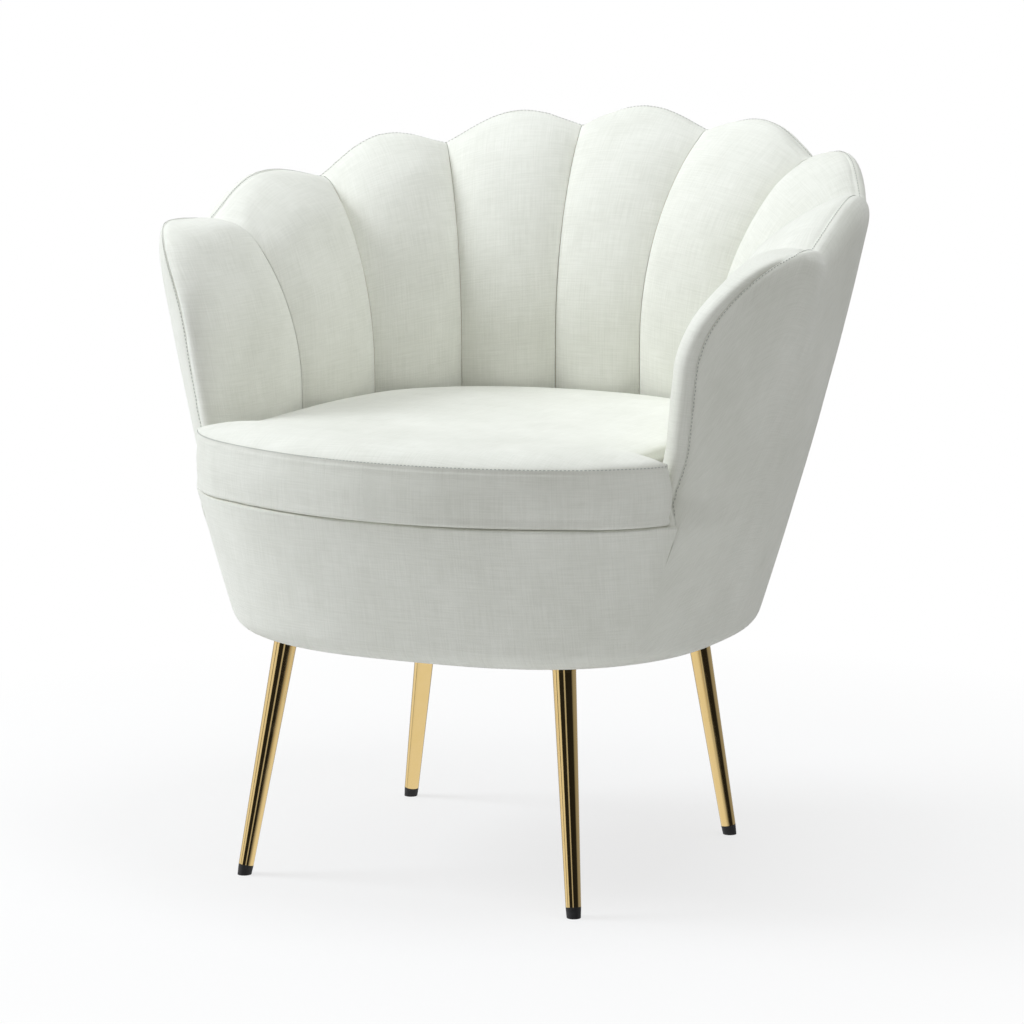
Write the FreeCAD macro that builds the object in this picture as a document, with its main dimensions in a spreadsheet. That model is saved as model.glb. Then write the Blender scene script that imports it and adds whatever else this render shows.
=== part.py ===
import FreeCAD
import Part
import math
import os
from FreeCAD import Vector, Placement, Rotation

# Scallop back tub chair. Millimetres, +Z up, the front faces -Y, the floor is z = 0.
# Plan angles are measured from +Y (the middle of the back) towards +X.

doc = FreeCAD.newDocument("ScallopBackChair")
sheet = doc.addObject("Spreadsheet::Sheet", "Sizes")

SIZES = [
    # plan centre of the tub
    ("tub_centre_y", -57.67),
    # heights of the drum under the seat
    ("underside_height", 257.0),
    ("shoulder_height", 285.0),
    ("waist_height", 490.0),
    ("rim_reference_height", 700.0),
    ("deck_height", 412.7),
    # outside of the tub, half widths and reaches at shoulder, waist and rim
    ("shoulder_half_width", 284.0),
    ("waist_half_width", 341.0),
    ("rim_half_width", 388.0),
    ("shoulder_back_reach", 262.0),
    ("waist_back_reach", 322.0),
    ("rim_back_reach", 378.0),
    ("shoulder_front_reach", 256.0),
    ("apron_front_reach", 281.0),
    ("arm_front_reach", 230.0),
    ("back_squareness", 2.4),
    ("front_squareness", 2.5),
    ("apron_blend_start", 400.0),
    ("apron_blend_end", 438.0),
    ("bottom_edge_radius", 28.0),
    # inside of the tub
    ("inner_half_width", 254.0),
    ("inner_back_reach", 256.0),
    ("inner_squareness", 2.6),
    ("flare_radius_back", 284.0),
    ("flare_radius_arm", 250.0),
    # channels and scallops
    ("first_seam_angle", 11.8),
    ("second_seam_angle", 35.3),
    ("third_seam_angle", 57.8),
    ("fourth_seam_angle", 86.0),
    ("arm_front_angle", 116.6),
    ("arm_rim_height", 680.0),
    ("back_rim_gain", 96.0),
    ("scallop_rise_back", 25.0),
    ("scallop_rise_side", 29.0),
    ("rim_inset", 12.0),
    ("rim_roll_back", 10.0),
    ("rim_roll_arm", 58.0),
    ("rim_roll_drop_back", 4.0),
    ("rim_roll_drop_arm", 20.0),
    ("channel_bulge_low", 10.0),
    # arm front outline
    ("arm_peak_reach", 53.0),
    ("arm_peak_rise", 13.0),
    ("arm_corner_drop", 105.0),
    ("arm_roll_width", 27.0),
    # layers
    ("cover_thickness", 1.5),
    ("layer_clearance", 0.3),
    ("curve_allowance", 0.9),
    ("rib_allowance", 2.2),
    ("pad_seam_depth", 8.0),
    ("bay_board_thickness", 3.0),
    ("wall_padding_thickness", 5.0),
    ("outer_board_thickness", 3.0),
    # wooden frame
    ("base_board_thickness", 18.0),
    ("base_board_inset", 25.0),
    ("seat_ring_thickness", 18.0),
    ("seat_ring_height", 368.0),
    ("seat_opening_half_width", 175.0),
    ("seat_opening_front", 190.0),
    ("seat_opening_back", 185.0),
    ("rib_thickness", 12.0),
    ("post_width", 45.0),
    ("post_half_spacing", 158.0),
    ("post_front_reach", 160.0),
    ("post_back_reach", 150.0),
    ("drum_rib_depth_inside", 195.0),
    # springs and deck
    ("spring_wire_radius", 1.8),
    ("spring_spacing", 70.0),
    ("spring_runs", 13.0),
    ("spring_half_width", 22.0),
    ("clip_length", 30.0),
    ("clip_width", 12.0),
    ("clip_height", 6.4),
    ("clip_floor", 1.0),
    ("deck_cover_thickness", 1.5),
    ("deck_pad_thickness", 18.0),
    ("deck_side_gap", 17.0),
    ("deck_squareness", 2.3),
    # seat cushion
    ("cushion_base_height", 413.2),
    ("cushion_seam_height", 472.0),
    ("cushion_crown_height", 489.0),
    ("cushion_side_gap", 17.0),
    ("cushion_back_gap", 19.0),
    ("cushion_front_reach", 287.0),
    ("cushion_ear_half_width", 281.0),
    ("cushion_ear_reach", 157.0),
    ("cushion_corner_x", 205.0),
    ("cushion_corner_reach", 238.0),
    ("cushion_lift", 300.0),
    # legs
    ("leg_top_height", 252.7),
    ("leg_plate_thickness", 3.0),
    ("leg_plate_radius", 22.0),
    ("leg_plate_shift", 23.0),
    ("leg_top_radius", 12.6),
    ("leg_foot_radius", 8.2),
    ("leg_wall", 1.5),
    ("front_foot_x", 198.0),
    ("front_foot_reach", 218.0),
    ("front_top_x", 166.9),
    ("front_top_reach", 177.5),
    ("back_foot_x", 203.0),
    ("back_foot_reach", 178.0),
    ("back_top_x", 165.7),
    ("back_top_reach", 159.3),
    ("cap_height", 11.0),
    ("cap_plug_length", 12.0),
    ("leg_screw_radius", 2.0),
    ("leg_screw_head_radius", 4.0),
    ("leg_screw_length", 16.0),
    ("leg_screw_circle", 16.0),
    ("dust_cover_thickness", 0.7),
    ("hem_width", 8.0),
]
for row, (alias, value) in enumerate(SIZES, start=1):
    sheet.set("A%d" % row, alias)
    sheet.set("B%d" % row, "%g" % value)
    sheet.setAlias("B%d" % row, alias)
doc.recompute()


class Values:
    """The sheet's numbers by name."""

    def __getattr__(self, name):
        return float(getattr(sheet, name))


size = Values()
centre = Vector(0, size.tub_centre_y, 0)
nodes = []


def node(shape, name):
    """A sub-part whose shape follows the tub's formula surfaces."""
    feature = doc.addObject("Part::Feature", name)
    feature.Shape = shape
    feature.Placement = Placement()
    feature.Label = name
    nodes.append(feature)
    return feature


def named(feature, name):
    """A parametric feature that is a finished sub-part."""
    feature.Label = name
    nodes.append(feature)
    return feature


# Surfaces of the tub

def through(height, low, middle, high):
    """Smooth profile through its values at shoulder, waist and rim."""
    a = size.shoulder_height
    b = size.waist_height
    c = size.rim_reference_height
    return (low * (height - b) * (height - c) / ((a - b) * (a - c))
            + middle * (height - a) * (height - c) / ((b - a) * (b - c))
            + high * (height - a) * (height - b) / ((c - a) * (c - b)))


def oval(angle, half_width, reach, squareness):
    """Radius of a squared oval at a plan angle."""
    side = abs(math.sin(angle)) / half_width
    end = abs(math.cos(angle)) / reach
    return (side ** squareness + end ** squareness) ** (-1.0 / squareness)


def half_width(height):
    return through(height, size.shoulder_half_width, size.waist_half_width, size.rim_half_width)


def back_reach(height):
    return through(height, size.shoulder_back_reach, size.waist_back_reach, size.rim_back_reach)


def front_reach(height):
    low = min(height, size.apron_blend_start)
    slope = (size.apron_front_reach - size.shoulder_front_reach) / (size.deck_height - size.shoulder_height)
    drum = size.shoulder_front_reach + slope * (low - size.shoulder_height)
    blend = (height - size.apron_blend_start) / (size.apron_blend_end - size.apron_blend_start)
    blend = min(max(blend, 0.0), 1.0)
    return drum * (1 - blend) + size.arm_front_reach * blend


def outer_radius(angle, height, apron=False):
    """Radius of the finished outside from the plan centre."""
    if math.cos(angle) >= 0:
        return oval(angle, half_width(height), back_reach(height), size.back_squareness)
    if apron:
        slope = (size.apron_front_reach - size.shoulder_front_reach) / (size.deck_height - size.shoulder_height)
        reach = size.shoulder_front_reach + slope * (height - size.shoulder_height)
    else:
        reach = front_reach(height)
    return oval(angle, half_width(height), reach, size.front_squareness)


def inner_radius(angle):
    return oval(angle, size.inner_half_width, size.inner_back_reach, size.inner_squareness)


def rim_height(angle):
    """Height of the valleys between the scallops."""
    return size.arm_rim_height + size.back_rim_gain * max(math.cos(angle), 0.0) ** 1.5


def at(angle, radius, height):
    return centre + Vector(radius * math.sin(angle), radius * math.cos(angle), height)


def outward(angle):
    return Vector(math.sin(angle), math.cos(angle), 0)


SIDE_SEAMS = [math.radians(a) for a in (size.first_seam_angle, size.second_seam_angle,
                                        size.third_seam_angle, size.fourth_seam_angle)]
SEAMS = [-a for a in reversed(SIDE_SEAMS)] + SIDE_SEAMS
ARM_FRONT = math.radians(size.arm_front_angle)
ARM_PEAK = size.arm_rim_height + size.arm_peak_rise
ARM_CORNER = size.arm_rim_height - size.arm_corner_drop
FLARE_STEPS = 6
CREST_STATION = FLARE_STEPS + 5
BOARD_STATIONS = FLARE_STEPS + 2
SWELL_AT_FLARE_END = 0.8
PAD_BOTTOM = size.seat_ring_height + size.seat_ring_thickness + 9.0
LAYERS = (size.cover_thickness + size.wall_padding_thickness + size.outer_board_thickness
          + 3 * size.layer_clearance)


def seam_stations(angle):
    """Stations of a seam from the seat over the crest to the lip: point, lean, swell share."""
    share = (abs(angle) / SIDE_SEAMS[-1]) ** 2
    roll = size.rim_roll_back + (size.rim_roll_arm - size.rim_roll_back) * share
    drop = size.rim_roll_drop_back + (size.rim_roll_drop_arm - size.rim_roll_drop_back) * share
    flare = size.flare_radius_back + (size.flare_radius_arm - size.flare_radius_back) * share
    top = rim_height(angle)
    rim = outer_radius(angle, top) - size.rim_inset
    low = inner_radius(angle)
    spread = rim - roll - low
    rise = math.sqrt(2 * flare * spread - spread ** 2)
    start = top - drop - rise
    lean = math.asin(rise / flare)
    stations = [(low, PAD_BOTTOM + (start - PAD_BOTTOM) * part, 0.0, 0.0) for part in (0.0, 0.5, 1.0)]
    for step in range(1, FLARE_STEPS + 1):
        turn = lean * step / FLARE_STEPS
        stations.append((low + flare * (1 - math.cos(turn)), start + flare * math.sin(turn), turn,
                         SWELL_AT_FLARE_END * (step / FLARE_STEPS) ** 1.5))
    crest_lean = math.radians(95)
    reach = math.hypot(roll, drop)
    for step in (1, 2):
        part = step / 3
        start_pull = part * (1 - part) ** 2 * reach
        end_pull = part ** 2 * (1 - part) * reach
        ease = part ** 2 * (3 - 2 * part)
        stations.append((rim - roll + roll * ease + math.sin(lean) * start_pull - end_pull,
                         top - drop + drop * ease + math.cos(lean) * start_pull,
                         lean + (crest_lean - lean) * part,
                         SWELL_AT_FLARE_END + (1 - SWELL_AT_FLARE_END) * part))
    stations.append((rim, top, crest_lean, 1.0))
    stations.append((rim + 4.5, top - 3.5, math.radians(115), 0.92))
    stations.append((rim + 7.0, top - 9.0, math.radians(135), 0.75))
    return [(at(angle, radius, height), tilt, swell) for radius, height, tilt, swell in stations]


def depth_direction(angle, lean):
    """Into the wall, square to the seam, in its upright radial plane."""
    return outward(angle) * math.cos(lean) - Vector(0, 0, 1) * math.sin(lean)


def arm_outline(reach):
    """Height of the arm's top edge at a distance in front of the plan centre."""
    fourth = -outer_radius(SIDE_SEAMS[-1], size.arm_rim_height) * math.cos(SIDE_SEAMS[-1])
    if reach < size.arm_peak_reach:
        share = (size.arm_peak_reach - reach) / (size.arm_peak_reach - fourth)
        return ARM_PEAK - (ARM_PEAK - size.arm_rim_height) * share ** 2
    front = -outer_radius(ARM_FRONT, ARM_CORNER) * math.cos(ARM_FRONT)
    share = min((reach - size.arm_peak_reach) / (front - size.arm_peak_reach), 1.0)
    return ARM_CORNER + (ARM_PEAK - ARM_CORNER) * math.sqrt(1 - share ** 2)


def arm_front_point(height):
    """Point of the arm's front edge on the outside, at a height below the peak."""
    if height <= ARM_CORNER:
        return at(ARM_FRONT, outer_radius(ARM_FRONT, height), height)
    front = -outer_radius(ARM_FRONT, ARM_CORNER) * math.cos(ARM_FRONT)
    share = (height - ARM_CORNER) / (ARM_PEAK - ARM_CORNER)
    reach = size.arm_peak_reach + (front - size.arm_peak_reach) * math.sqrt(1 - min(share, 1.0) ** 2)
    inside = 1 - (reach / front_reach(height)) ** size.front_squareness
    return centre + Vector(half_width(height) * inside ** (1 / size.front_squareness), -reach, height)


def scallop_rise(middle_angle):
    share = abs(middle_angle) / SIDE_SEAMS[-1]
    return size.scallop_rise_back + (size.scallop_rise_side - size.scallop_rise_back) * share


def swell_height(share, rise):
    """How far a channel stands out from the line between its seams."""
    return size.channel_bulge_low + (rise - size.channel_bulge_low) * share if share < 1 else rise


# Sections

def arc(first, middle, last):
    return Part.Arc(first, middle, last).toShape()


def line(first, last):
    return Part.LineSegment(first, last).toShape()


def channel_frame(left, right, lean, left_angle, right_angle):
    """Corner, along and depth directions of a channel's section at one station."""
    along = (right - left).normalize()
    depth = depth_direction((left_angle + right_angle) / 2, lean)
    depth = (depth - along * depth.dot(along)).normalize()
    return along, depth


def band_section(left, right, along, depth, front, near, far, back_bulge=0.0, side_gap=0.0):
    """A channel section from a bulged front at depth near to a back at depth far."""
    gap = along * (size.layer_clearance + side_gap)
    a = left + gap + depth * near
    b = right - gap + depth * near
    c = right - gap + depth * far
    d = left + gap + depth * far
    middle = (left + right) * 0.5
    front_edge = arc(a, middle - depth * front, b)
    if back_bulge:
        back_edge = arc(c, middle - depth * back_bulge, d)
    else:
        back_edge = line(c, d)
    return Part.Wire([front_edge, line(b, c), back_edge, line(d, a)])


def channel_solids(index):
    """Foam pad, cover panel and bay board of one channel between two seams."""
    left_angle = SEAMS[index]
    right_angle = SEAMS[index + 1]
    stations = zip(seam_stations(left_angle), seam_stations(right_angle))
    rise = scallop_rise((left_angle + right_angle) / 2)
    skin = size.cover_thickness
    inside = skin + size.layer_clearance
    pad = []
    panel = []
    board = []
    for number, ((left, lean_left, share), (right, lean_right, _)) in enumerate(stations):
        lean = (lean_left + lean_right) / 2
        along, depth = channel_frame(left, right, lean, left_angle, right_angle)
        front = swell_height(share, rise)
        past = max(number - CREST_STATION, 0)
        back = size.pad_seam_depth - past * 1.5
        pad.append(band_section(left, right, along, depth, front - inside, inside, back, 0.0, past * 1.1))
        panel.append(band_section(left, right, along, depth, front, 0.0, skin, front - skin))
        if number < BOARD_STATIONS:
            gap = along * size.layer_clearance
            near = depth * (size.pad_seam_depth + size.layer_clearance)
            far = near + depth * size.bay_board_thickness
            board.append(Part.makePolygon([left + gap + near, right - gap + near,
                                           right - gap + far, left + gap + far, left + gap + near]))
    return Part.makeLoft(pad, True, True), Part.makeLoft(panel, True, True), Part.makeLoft(board, True, True)


def arm_solids():
    """Foam pad, cover panel and bay board of the right arm, from the fourth seam round the front."""
    skin = size.cover_thickness
    inside = skin + size.layer_clearance
    rise = ARM_PEAK - size.arm_rim_height
    pad = []
    panel = []
    board = []
    for number, (start, lean, share) in enumerate(seam_stations(SIDE_SEAMS[-1])):
        upright = math.cos(min(lean, math.pi / 2))
        past = max(number - CREST_STATION, 0)
        width = size.arm_roll_width * (0.45 + 0.55 * upright)
        edge = arm_front_point(min(start.z + 5.0 * (1 - upright), ARM_PEAK - 6.0))
        sink = LAYERS + size.curve_allowance + width * upright
        sink += (1 - upright) * (size.rim_inset - LAYERS) - 3.5 * past
        end = edge - Vector(sink, 0, 0)
        along = (end - start).normalize()
        depth = Vector(1, 0, 0) * math.cos(lean) - Vector(0, 0, 1) * math.sin(lean)
        depth = (depth - along * depth.dot(along)).normalize()
        length = (end - start).Length
        front = swell_height(share, rise)

        def spot(run, deep):
            return start + along * run + depth * deep

        def outline(offset):
            """Swelling front and rolled arm front, at an offset inside the finished surface."""
            first = spot(size.layer_clearance, offset)
            middle = spot(length * 0.5, offset - front)
            corner = spot(length - 14.0, offset - 2.0)
            nose = spot(length + 3.0 - offset, width * 0.42)
            last = spot(length - 2.0 - offset, width)
            return first, middle, corner, nose, last

        first, middle, corner, nose, last = outline(inside)
        back = size.pad_seam_depth - past * 1.5
        heel = spot(length - 24.0, width)
        knee = spot(length - 24.0, back)
        home = spot(size.layer_clearance, back)
        pad.append(Part.Wire([arc(first, middle, corner), arc(corner, nose, last), line(last, heel),
                              line(heel, knee), line(knee, home), line(home, first)]))
        first, middle, corner, nose, last = outline(0.0)
        inner_first, inner_middle, inner_corner, inner_nose, inner_last = outline(skin)
        panel.append(Part.Wire([arc(first, middle, corner), arc(corner, nose, last),
                                line(last, inner_last), arc(inner_last, inner_nose, inner_corner),
                                arc(inner_corner, inner_middle, inner_first), line(inner_first, first)]))
        if number < BOARD_STATIONS:
            near = size.pad_seam_depth + size.layer_clearance
            far = near + size.bay_board_thickness
            reach = length - 25.0
            corners = [spot(size.layer_clearance, near), spot(reach, near),
                       spot(reach, far), spot(size.layer_clearance, far)]
            board.append(Part.makePolygon(corners + corners[:1]))
    return Part.makeLoft(pad, True, True), Part.makeLoft(panel, True, True), Part.makeLoft(board, True, True)


def mirrored(shape):
    return shape.mirror(Vector(0, 0, 0), Vector(1, 0, 0))


# Channels: pads, inner cover and bay boards, numbered from the left arm to the right arm

panels = []
arm_pad, arm_panel, arm_board = arm_solids()
node(mirrored(arm_pad), "channel_pad_1")
node(mirrored(arm_board), "bay_board_1")
panels.append(mirrored(arm_panel))
for index in range(len(SEAMS) - 1):
    pad, panel, board = channel_solids(index)
    node(pad, "channel_pad_%d" % (index + 2))
    node(board, "bay_board_%d" % (index + 2))
    panels.append(panel)
node(arm_pad, "channel_pad_9")
node(arm_board, "bay_board_9")
panels.append(arm_panel)
node(Part.makeCompound(panels), "inner_cover")


# Outer layers: cover, padding and board, built from sections in upright radial planes

EDGE_DROP_COVER = 10.0
EDGE_DROP_INNER = 19.0
LIP_LIFT = 5.0


def tub_top(angle, lift=0.0):
    """Height of the edge line on the outside at a plan angle, lifted under each scallop."""
    if abs(angle) <= SIDE_SEAMS[-1]:
        for first, last in zip(SEAMS[:-1], SEAMS[1:]):
            if first <= angle <= last:
                share = (angle - first) / (last - first)
                valley = rim_height(first) * (1 - share) + rim_height(last) * share
                return valley + lift * 4 * share * (1 - share)
    low = ARM_CORNER
    high = ARM_PEAK
    for halving in range(30):
        height = (low + high) / 2
        if arm_outline(-outer_radius(angle, height) * math.cos(angle)) > height:
            low = height
        else:
            high = height
    return height


def tub_stops():
    """Plan angles of the sections round the tub, closer together round the arm fronts."""
    stops = []
    for first, last in zip(SEAMS[:-1], SEAMS[1:]):
        stops += [first + (last - first) * step / 5 for step in range(5)]
    shares = (0.0, 0.2, 0.4, 0.6, 0.75, 0.87, 0.95, 1.0)
    side = [SIDE_SEAMS[-1] + (ARM_FRONT - SIDE_SEAMS[-1]) * share for share in shares]
    return [-angle for angle in reversed(side)] + stops[1:] + side


def apron_stops():
    gap = size.layer_clearance / size.arm_front_reach
    span = 2 * (math.pi - ARM_FRONT) - 2 * gap
    return [ARM_FRONT + gap + span * step / 24 for step in range(25)]


def wire(runs):
    """Closed wire from runs of two points (lines) and three points (arcs)."""
    edges = []
    for run in runs:
        flat = len(run) == 2 or (run[1] - (run[0] + run[2]) * 0.5).Length < 0.01
        edges.append(line(run[0], run[-1]) if flat else arc(*run))
    return Part.Wire(edges)


def backwards(runs):
    """The same runs taken the other way round."""
    return [tuple(reversed(run)) for run in reversed(runs)]


def outside_runs(angle, top, offset, apron, bottom):
    """Runs up the outside at an offset inside the finished surface."""
    def spot(height):
        return at(angle, outer_radius(angle, height, apron) - offset, height)

    def curve(low, high):
        return spot(low), spot((low + high) / 2), spot(high)

    if apron:
        return [curve(bottom, top)]
    start = size.apron_blend_start
    end = size.apron_blend_end
    return [curve(bottom, start), (spot(start), spot(end)), curve(end, top)]


def bottom_spot(angle, offset, turn, apron):
    """Point on the rounded bottom edge, turn 0 at the side and a quarter turn underneath."""
    radius = size.bottom_edge_radius
    middle = outer_radius(angle, size.shoulder_height, apron) - radius
    reach = radius - offset
    lift = size.underside_height + radius
    return at(angle, middle + reach * math.cos(turn), lift - reach * math.sin(turn))


def cover_section(angle, top, apron):
    skin = size.cover_thickness
    shoulder = size.shoulder_height
    outside = outside_runs(angle, top, 0.0, apron, shoulder)
    inside = outside_runs(angle, top, skin, apron, shoulder)
    quarter = math.pi / 2
    outer = (outside[0][0], bottom_spot(angle, 0, quarter / 2, apron), bottom_spot(angle, 0, quarter, apron))
    inner = (inside[0][0], bottom_spot(angle, skin, quarter / 2, apron), bottom_spot(angle, skin, quarter, apron))
    hem = outward(angle) * size.hem_width
    return wire(outside + [(outside[-1][-1], inside[-1][-1])] + backwards(inside)
                + [inner, (inner[2], inner[2] - hem), (inner[2] - hem, outer[2] - hem), (outer[2] - hem, outer[2])]
                + backwards([outer]))


def padding_section(angle, top, apron):
    near = size.cover_thickness + size.layer_clearance
    far = near + size.wall_padding_thickness
    shoulder = size.shoulder_height
    board_edge = outer_radius(angle, shoulder, apron) - size.base_board_inset + size.curve_allowance
    outside = outside_runs(angle, top, near, apron, shoulder)
    inside = outside_runs(angle, top, far, apron, shoulder)
    reach = size.bottom_edge_radius - near
    turn = math.acos((size.bottom_edge_radius - size.base_board_inset + size.curve_allowance) / reach)
    low = bottom_spot(angle, near, turn, apron)
    corner = at(angle, board_edge, BASE_TOP)
    return wire(outside + [(outside[-1][-1], inside[-1][-1])] + backwards(inside)
                + [(inside[0][0], corner), (corner, low),
                   (low, bottom_spot(angle, near, turn / 2, apron), outside[0][0])])


def board_section(angle, top, apron):
    near = size.cover_thickness + size.wall_padding_thickness + 2 * size.layer_clearance
    far = near + size.outer_board_thickness
    bottom = size.shoulder_height + 1.0
    outside = outside_runs(angle, top, near, apron, bottom)
    inside = outside_runs(angle, top, far, apron, bottom)
    return wire(outside + [(outside[-1][-1], inside[-1][-1])] + backwards(inside)
                + [(inside[0][0], outside[0][0])])


BASE_BOTTOM = size.underside_height + size.cover_thickness + size.layer_clearance
BASE_TOP = BASE_BOTTOM + size.base_board_thickness
RING_TOP = size.seat_ring_height + size.seat_ring_thickness
stops = tub_stops()
around = apron_stops()
deck_under = size.deck_height - size.deck_cover_thickness - size.layer_clearance

node(Part.makeLoft([cover_section(a, tub_top(a, LIP_LIFT) - EDGE_DROP_COVER, False) for a in stops], True, True),
     "outer_cover")
node(Part.makeLoft([cover_section(a, size.deck_height, True) for a in around], True, True), "apron_cover")
node(Part.makeLoft([board_section(a, tub_top(a) - EDGE_DROP_INNER, False) for a in stops], True, True),
     "outer_board")
node(Part.makeLoft([board_section(a, deck_under, True) for a in around], True, True), "apron_board")
node(Part.makeLoft([padding_section(a, deck_under, True) for a in around], True, True), "apron_padding")
wall_parts = (("left", -ARM_FRONT, SEAMS[1]), ("back", SEAMS[1], SEAMS[-2]), ("right", SEAMS[-2], ARM_FRONT))
for side, first, last in wall_parts:
    gap = size.layer_clearance / size.rim_back_reach
    inside = [a for a in stops if first + 0.001 < a < last - 0.001]
    run = [first + gap] + inside + [last - gap]
    node(Part.makeLoft([padding_section(a, tub_top(a) - EDGE_DROP_INNER, False) for a in run], True, True),
         "wall_padding_%s" % side)


# Wooden frame

def plan_face(inset, height, level, steps=48):
    """Flat face inside the drum's outline at one height."""
    turns = [2 * math.pi * step / steps for step in range(steps)]
    points = [at(turn, outer_radius(turn, level, True) - inset, height) for turn in turns]
    curve = Part.BSplineCurve()
    curve.interpolate(Points=points, PeriodicFlag=True)
    return Part.Face(Part.Wire([curve.toShape()]))


def upright_plate(outline, angle, thickness):
    """Flat plate in a radial plane from its outline wire."""
    across = Vector(math.cos(angle), -math.sin(angle), 0)
    face = Part.Face(outline)
    face.translate(across * (-thickness / 2))
    return face.extrude(across * thickness)


LEGS = (
    ("front_left", -1, size.front_foot_x, -size.front_foot_reach, size.front_top_x, -size.front_top_reach),
    ("front_right", 1, size.front_foot_x, -size.front_foot_reach, size.front_top_x, -size.front_top_reach),
    ("back_left", -1, size.back_foot_x, size.back_foot_reach, size.back_top_x, size.back_top_reach),
    ("back_right", 1, size.back_foot_x, size.back_foot_reach, size.back_top_x, size.back_top_reach),
)


def leg_line(leg):
    """Foot and top points of a leg's axis."""
    name, side, foot_x, foot_y, top_x, top_y = leg
    return centre + Vector(side * foot_x, foot_y, 0), centre + Vector(side * top_x, top_y, size.leg_top_height)


def plate_centre(leg):
    foot, top = leg_line(leg)
    inward = (centre - Vector(top.x, top.y, 0)).normalize()
    return top + inward * size.leg_plate_shift, inward


def screw_spots(leg):
    """Axes of a leg's screws at the underside of its plate."""
    middle, inward = plate_centre(leg)
    across = Vector(-inward.y, inward.x, 0)
    spots = []
    for turn in (30, 80, -30, -80):
        a = math.radians(turn)
        spots.append(middle + (inward * math.cos(a) + across * math.sin(a)) * size.leg_screw_circle)
    return spots


up = Vector(0, 0, 1)
base = plan_face(size.base_board_inset, BASE_BOTTOM, size.shoulder_height)
base = base.extrude(up * size.base_board_thickness)
dust_bottom = size.underside_height - size.layer_clearance - size.dust_cover_thickness
dust = plan_face(size.bottom_edge_radius + 3.0, dust_bottom, size.shoulder_height)
dust = dust.extrude(up * size.dust_cover_thickness)
for leg in LEGS:
    for spot in screw_spots(leg):
        pilot = Part.makeCylinder(size.leg_screw_radius + 0.1, size.leg_screw_length + 1.0, spot)
        base = base.cut(pilot)
        dust = dust.cut(pilot)
node(base, "base_board")
node(dust, "dust_cover")

ring = plan_face(LAYERS + size.curve_allowance, size.seat_ring_height, size.seat_ring_height)
ring = ring.extrude(up * size.seat_ring_thickness)
opening = Part.makeBox(2 * size.seat_opening_half_width, size.seat_opening_front + size.seat_opening_back,
                       size.seat_ring_thickness,
                       centre + Vector(-size.seat_opening_half_width, -size.seat_opening_front,
                                       size.seat_ring_height))
opening = opening.makeFillet(40.0, [e for e in opening.Edges if abs(e.tangentAt(e.FirstParameter).z) > 0.9])
node(ring.cut(opening), "seat_ring")

for number, angle in enumerate(SEAMS, start=1):
    stations = seam_stations(angle)
    depth_here = (size.pad_seam_depth + size.bay_board_thickness + size.layer_clearance) * 1.04 + 0.4
    front = [point + depth_direction(angle, lean) * depth_here
             for point, lean, share in stations[:FLARE_STEPS + 3]]
    foot = Vector(front[0].x, front[0].y, RING_TOP)
    outside = LAYERS + size.rib_allowance
    top = tub_top(angle) - EDGE_DROP_INNER + 1.0
    corner = at(angle, outer_radius(angle, top) - outside, top)
    middle = at(angle, outer_radius(angle, (top + RING_TOP) / 2) - outside, (top + RING_TOP) / 2)
    heel = at(angle, outer_radius(angle, RING_TOP) - outside, RING_TOP)
    curve = Part.BSplineCurve()
    curve.interpolate(front[2:])
    outline = Part.Wire([line(foot, front[0]), line(front[0], front[2]), curve.toShape(), line(front[-1], corner),
                         arc(corner, middle, heel), line(heel, foot)])
    node(upright_plate(outline, angle, size.rib_thickness), "back_rib_%d" % number)

ARM_BOARD = math.radians(110.5)
ARM_BOARD_TOP = size.arm_rim_height - 80.0
front = []
for start, lean, share in seam_stations(SIDE_SEAMS[-1]):
    if start.z > ARM_BOARD_TOP:
        break
    edge = arm_front_point(start.z)
    end = edge - Vector(LAYERS + size.arm_roll_width * math.cos(lean), 0, 0)
    along = (end - start).normalize()
    depth = Vector(1, 0, 0) * math.cos(lean) - up * math.sin(lean)
    depth = (depth - along * depth.dot(along)).normalize()
    deep = size.pad_seam_depth + size.bay_board_thickness + 2.6 + size.layer_clearance
    radius = (deep + depth.dot(start - centre) - depth.z * start.z) / depth.dot(outward(ARM_BOARD))
    front.append(at(ARM_BOARD, radius, start.z))
foot = Vector(front[0].x, front[0].y, RING_TOP)
arm_outside = LAYERS + size.rib_allowance
arm_outer = [at(ARM_BOARD, outer_radius(ARM_BOARD, height) - arm_outside, height)
             for height in (front[-1].z, (front[-1].z + size.apron_blend_end) / 2, size.apron_blend_end,
                            size.apron_blend_start, RING_TOP)]
arm_wire = Part.makePolygon([foot] + front + [arm_outer[0], arm_outer[1], arm_outer[2], arm_outer[3],
                                              arm_outer[4], foot])
arm_board = upright_plate(arm_wire, ARM_BOARD, size.rib_thickness)
node(arm_board, "arm_board_right")
node(mirrored(arm_board), "arm_board_left")

drum_ribs = []
for degrees in (0, 22, -22, 66, -66, 90, -90, 110, -110, 158, -158, 180):
    angle = math.radians(degrees)
    low = size.shoulder_height + 1.0
    high = size.seat_ring_height
    outside = LAYERS + size.rib_allowance
    points = [at(angle, size.drum_rib_depth_inside, BASE_TOP),
              at(angle, outer_radius(angle, size.shoulder_height, True) - size.base_board_inset - 1.0, BASE_TOP),
              at(angle, outer_radius(angle, low, True) - outside, low),
              at(angle, outer_radius(angle, high, True) - outside, high),
              at(angle, size.drum_rib_depth_inside, high)]
    drum_ribs.append(upright_plate(Part.makePolygon(points + points[:1]), angle, size.rib_thickness))
node(Part.makeCompound(drum_ribs), "drum_ribs")

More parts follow.
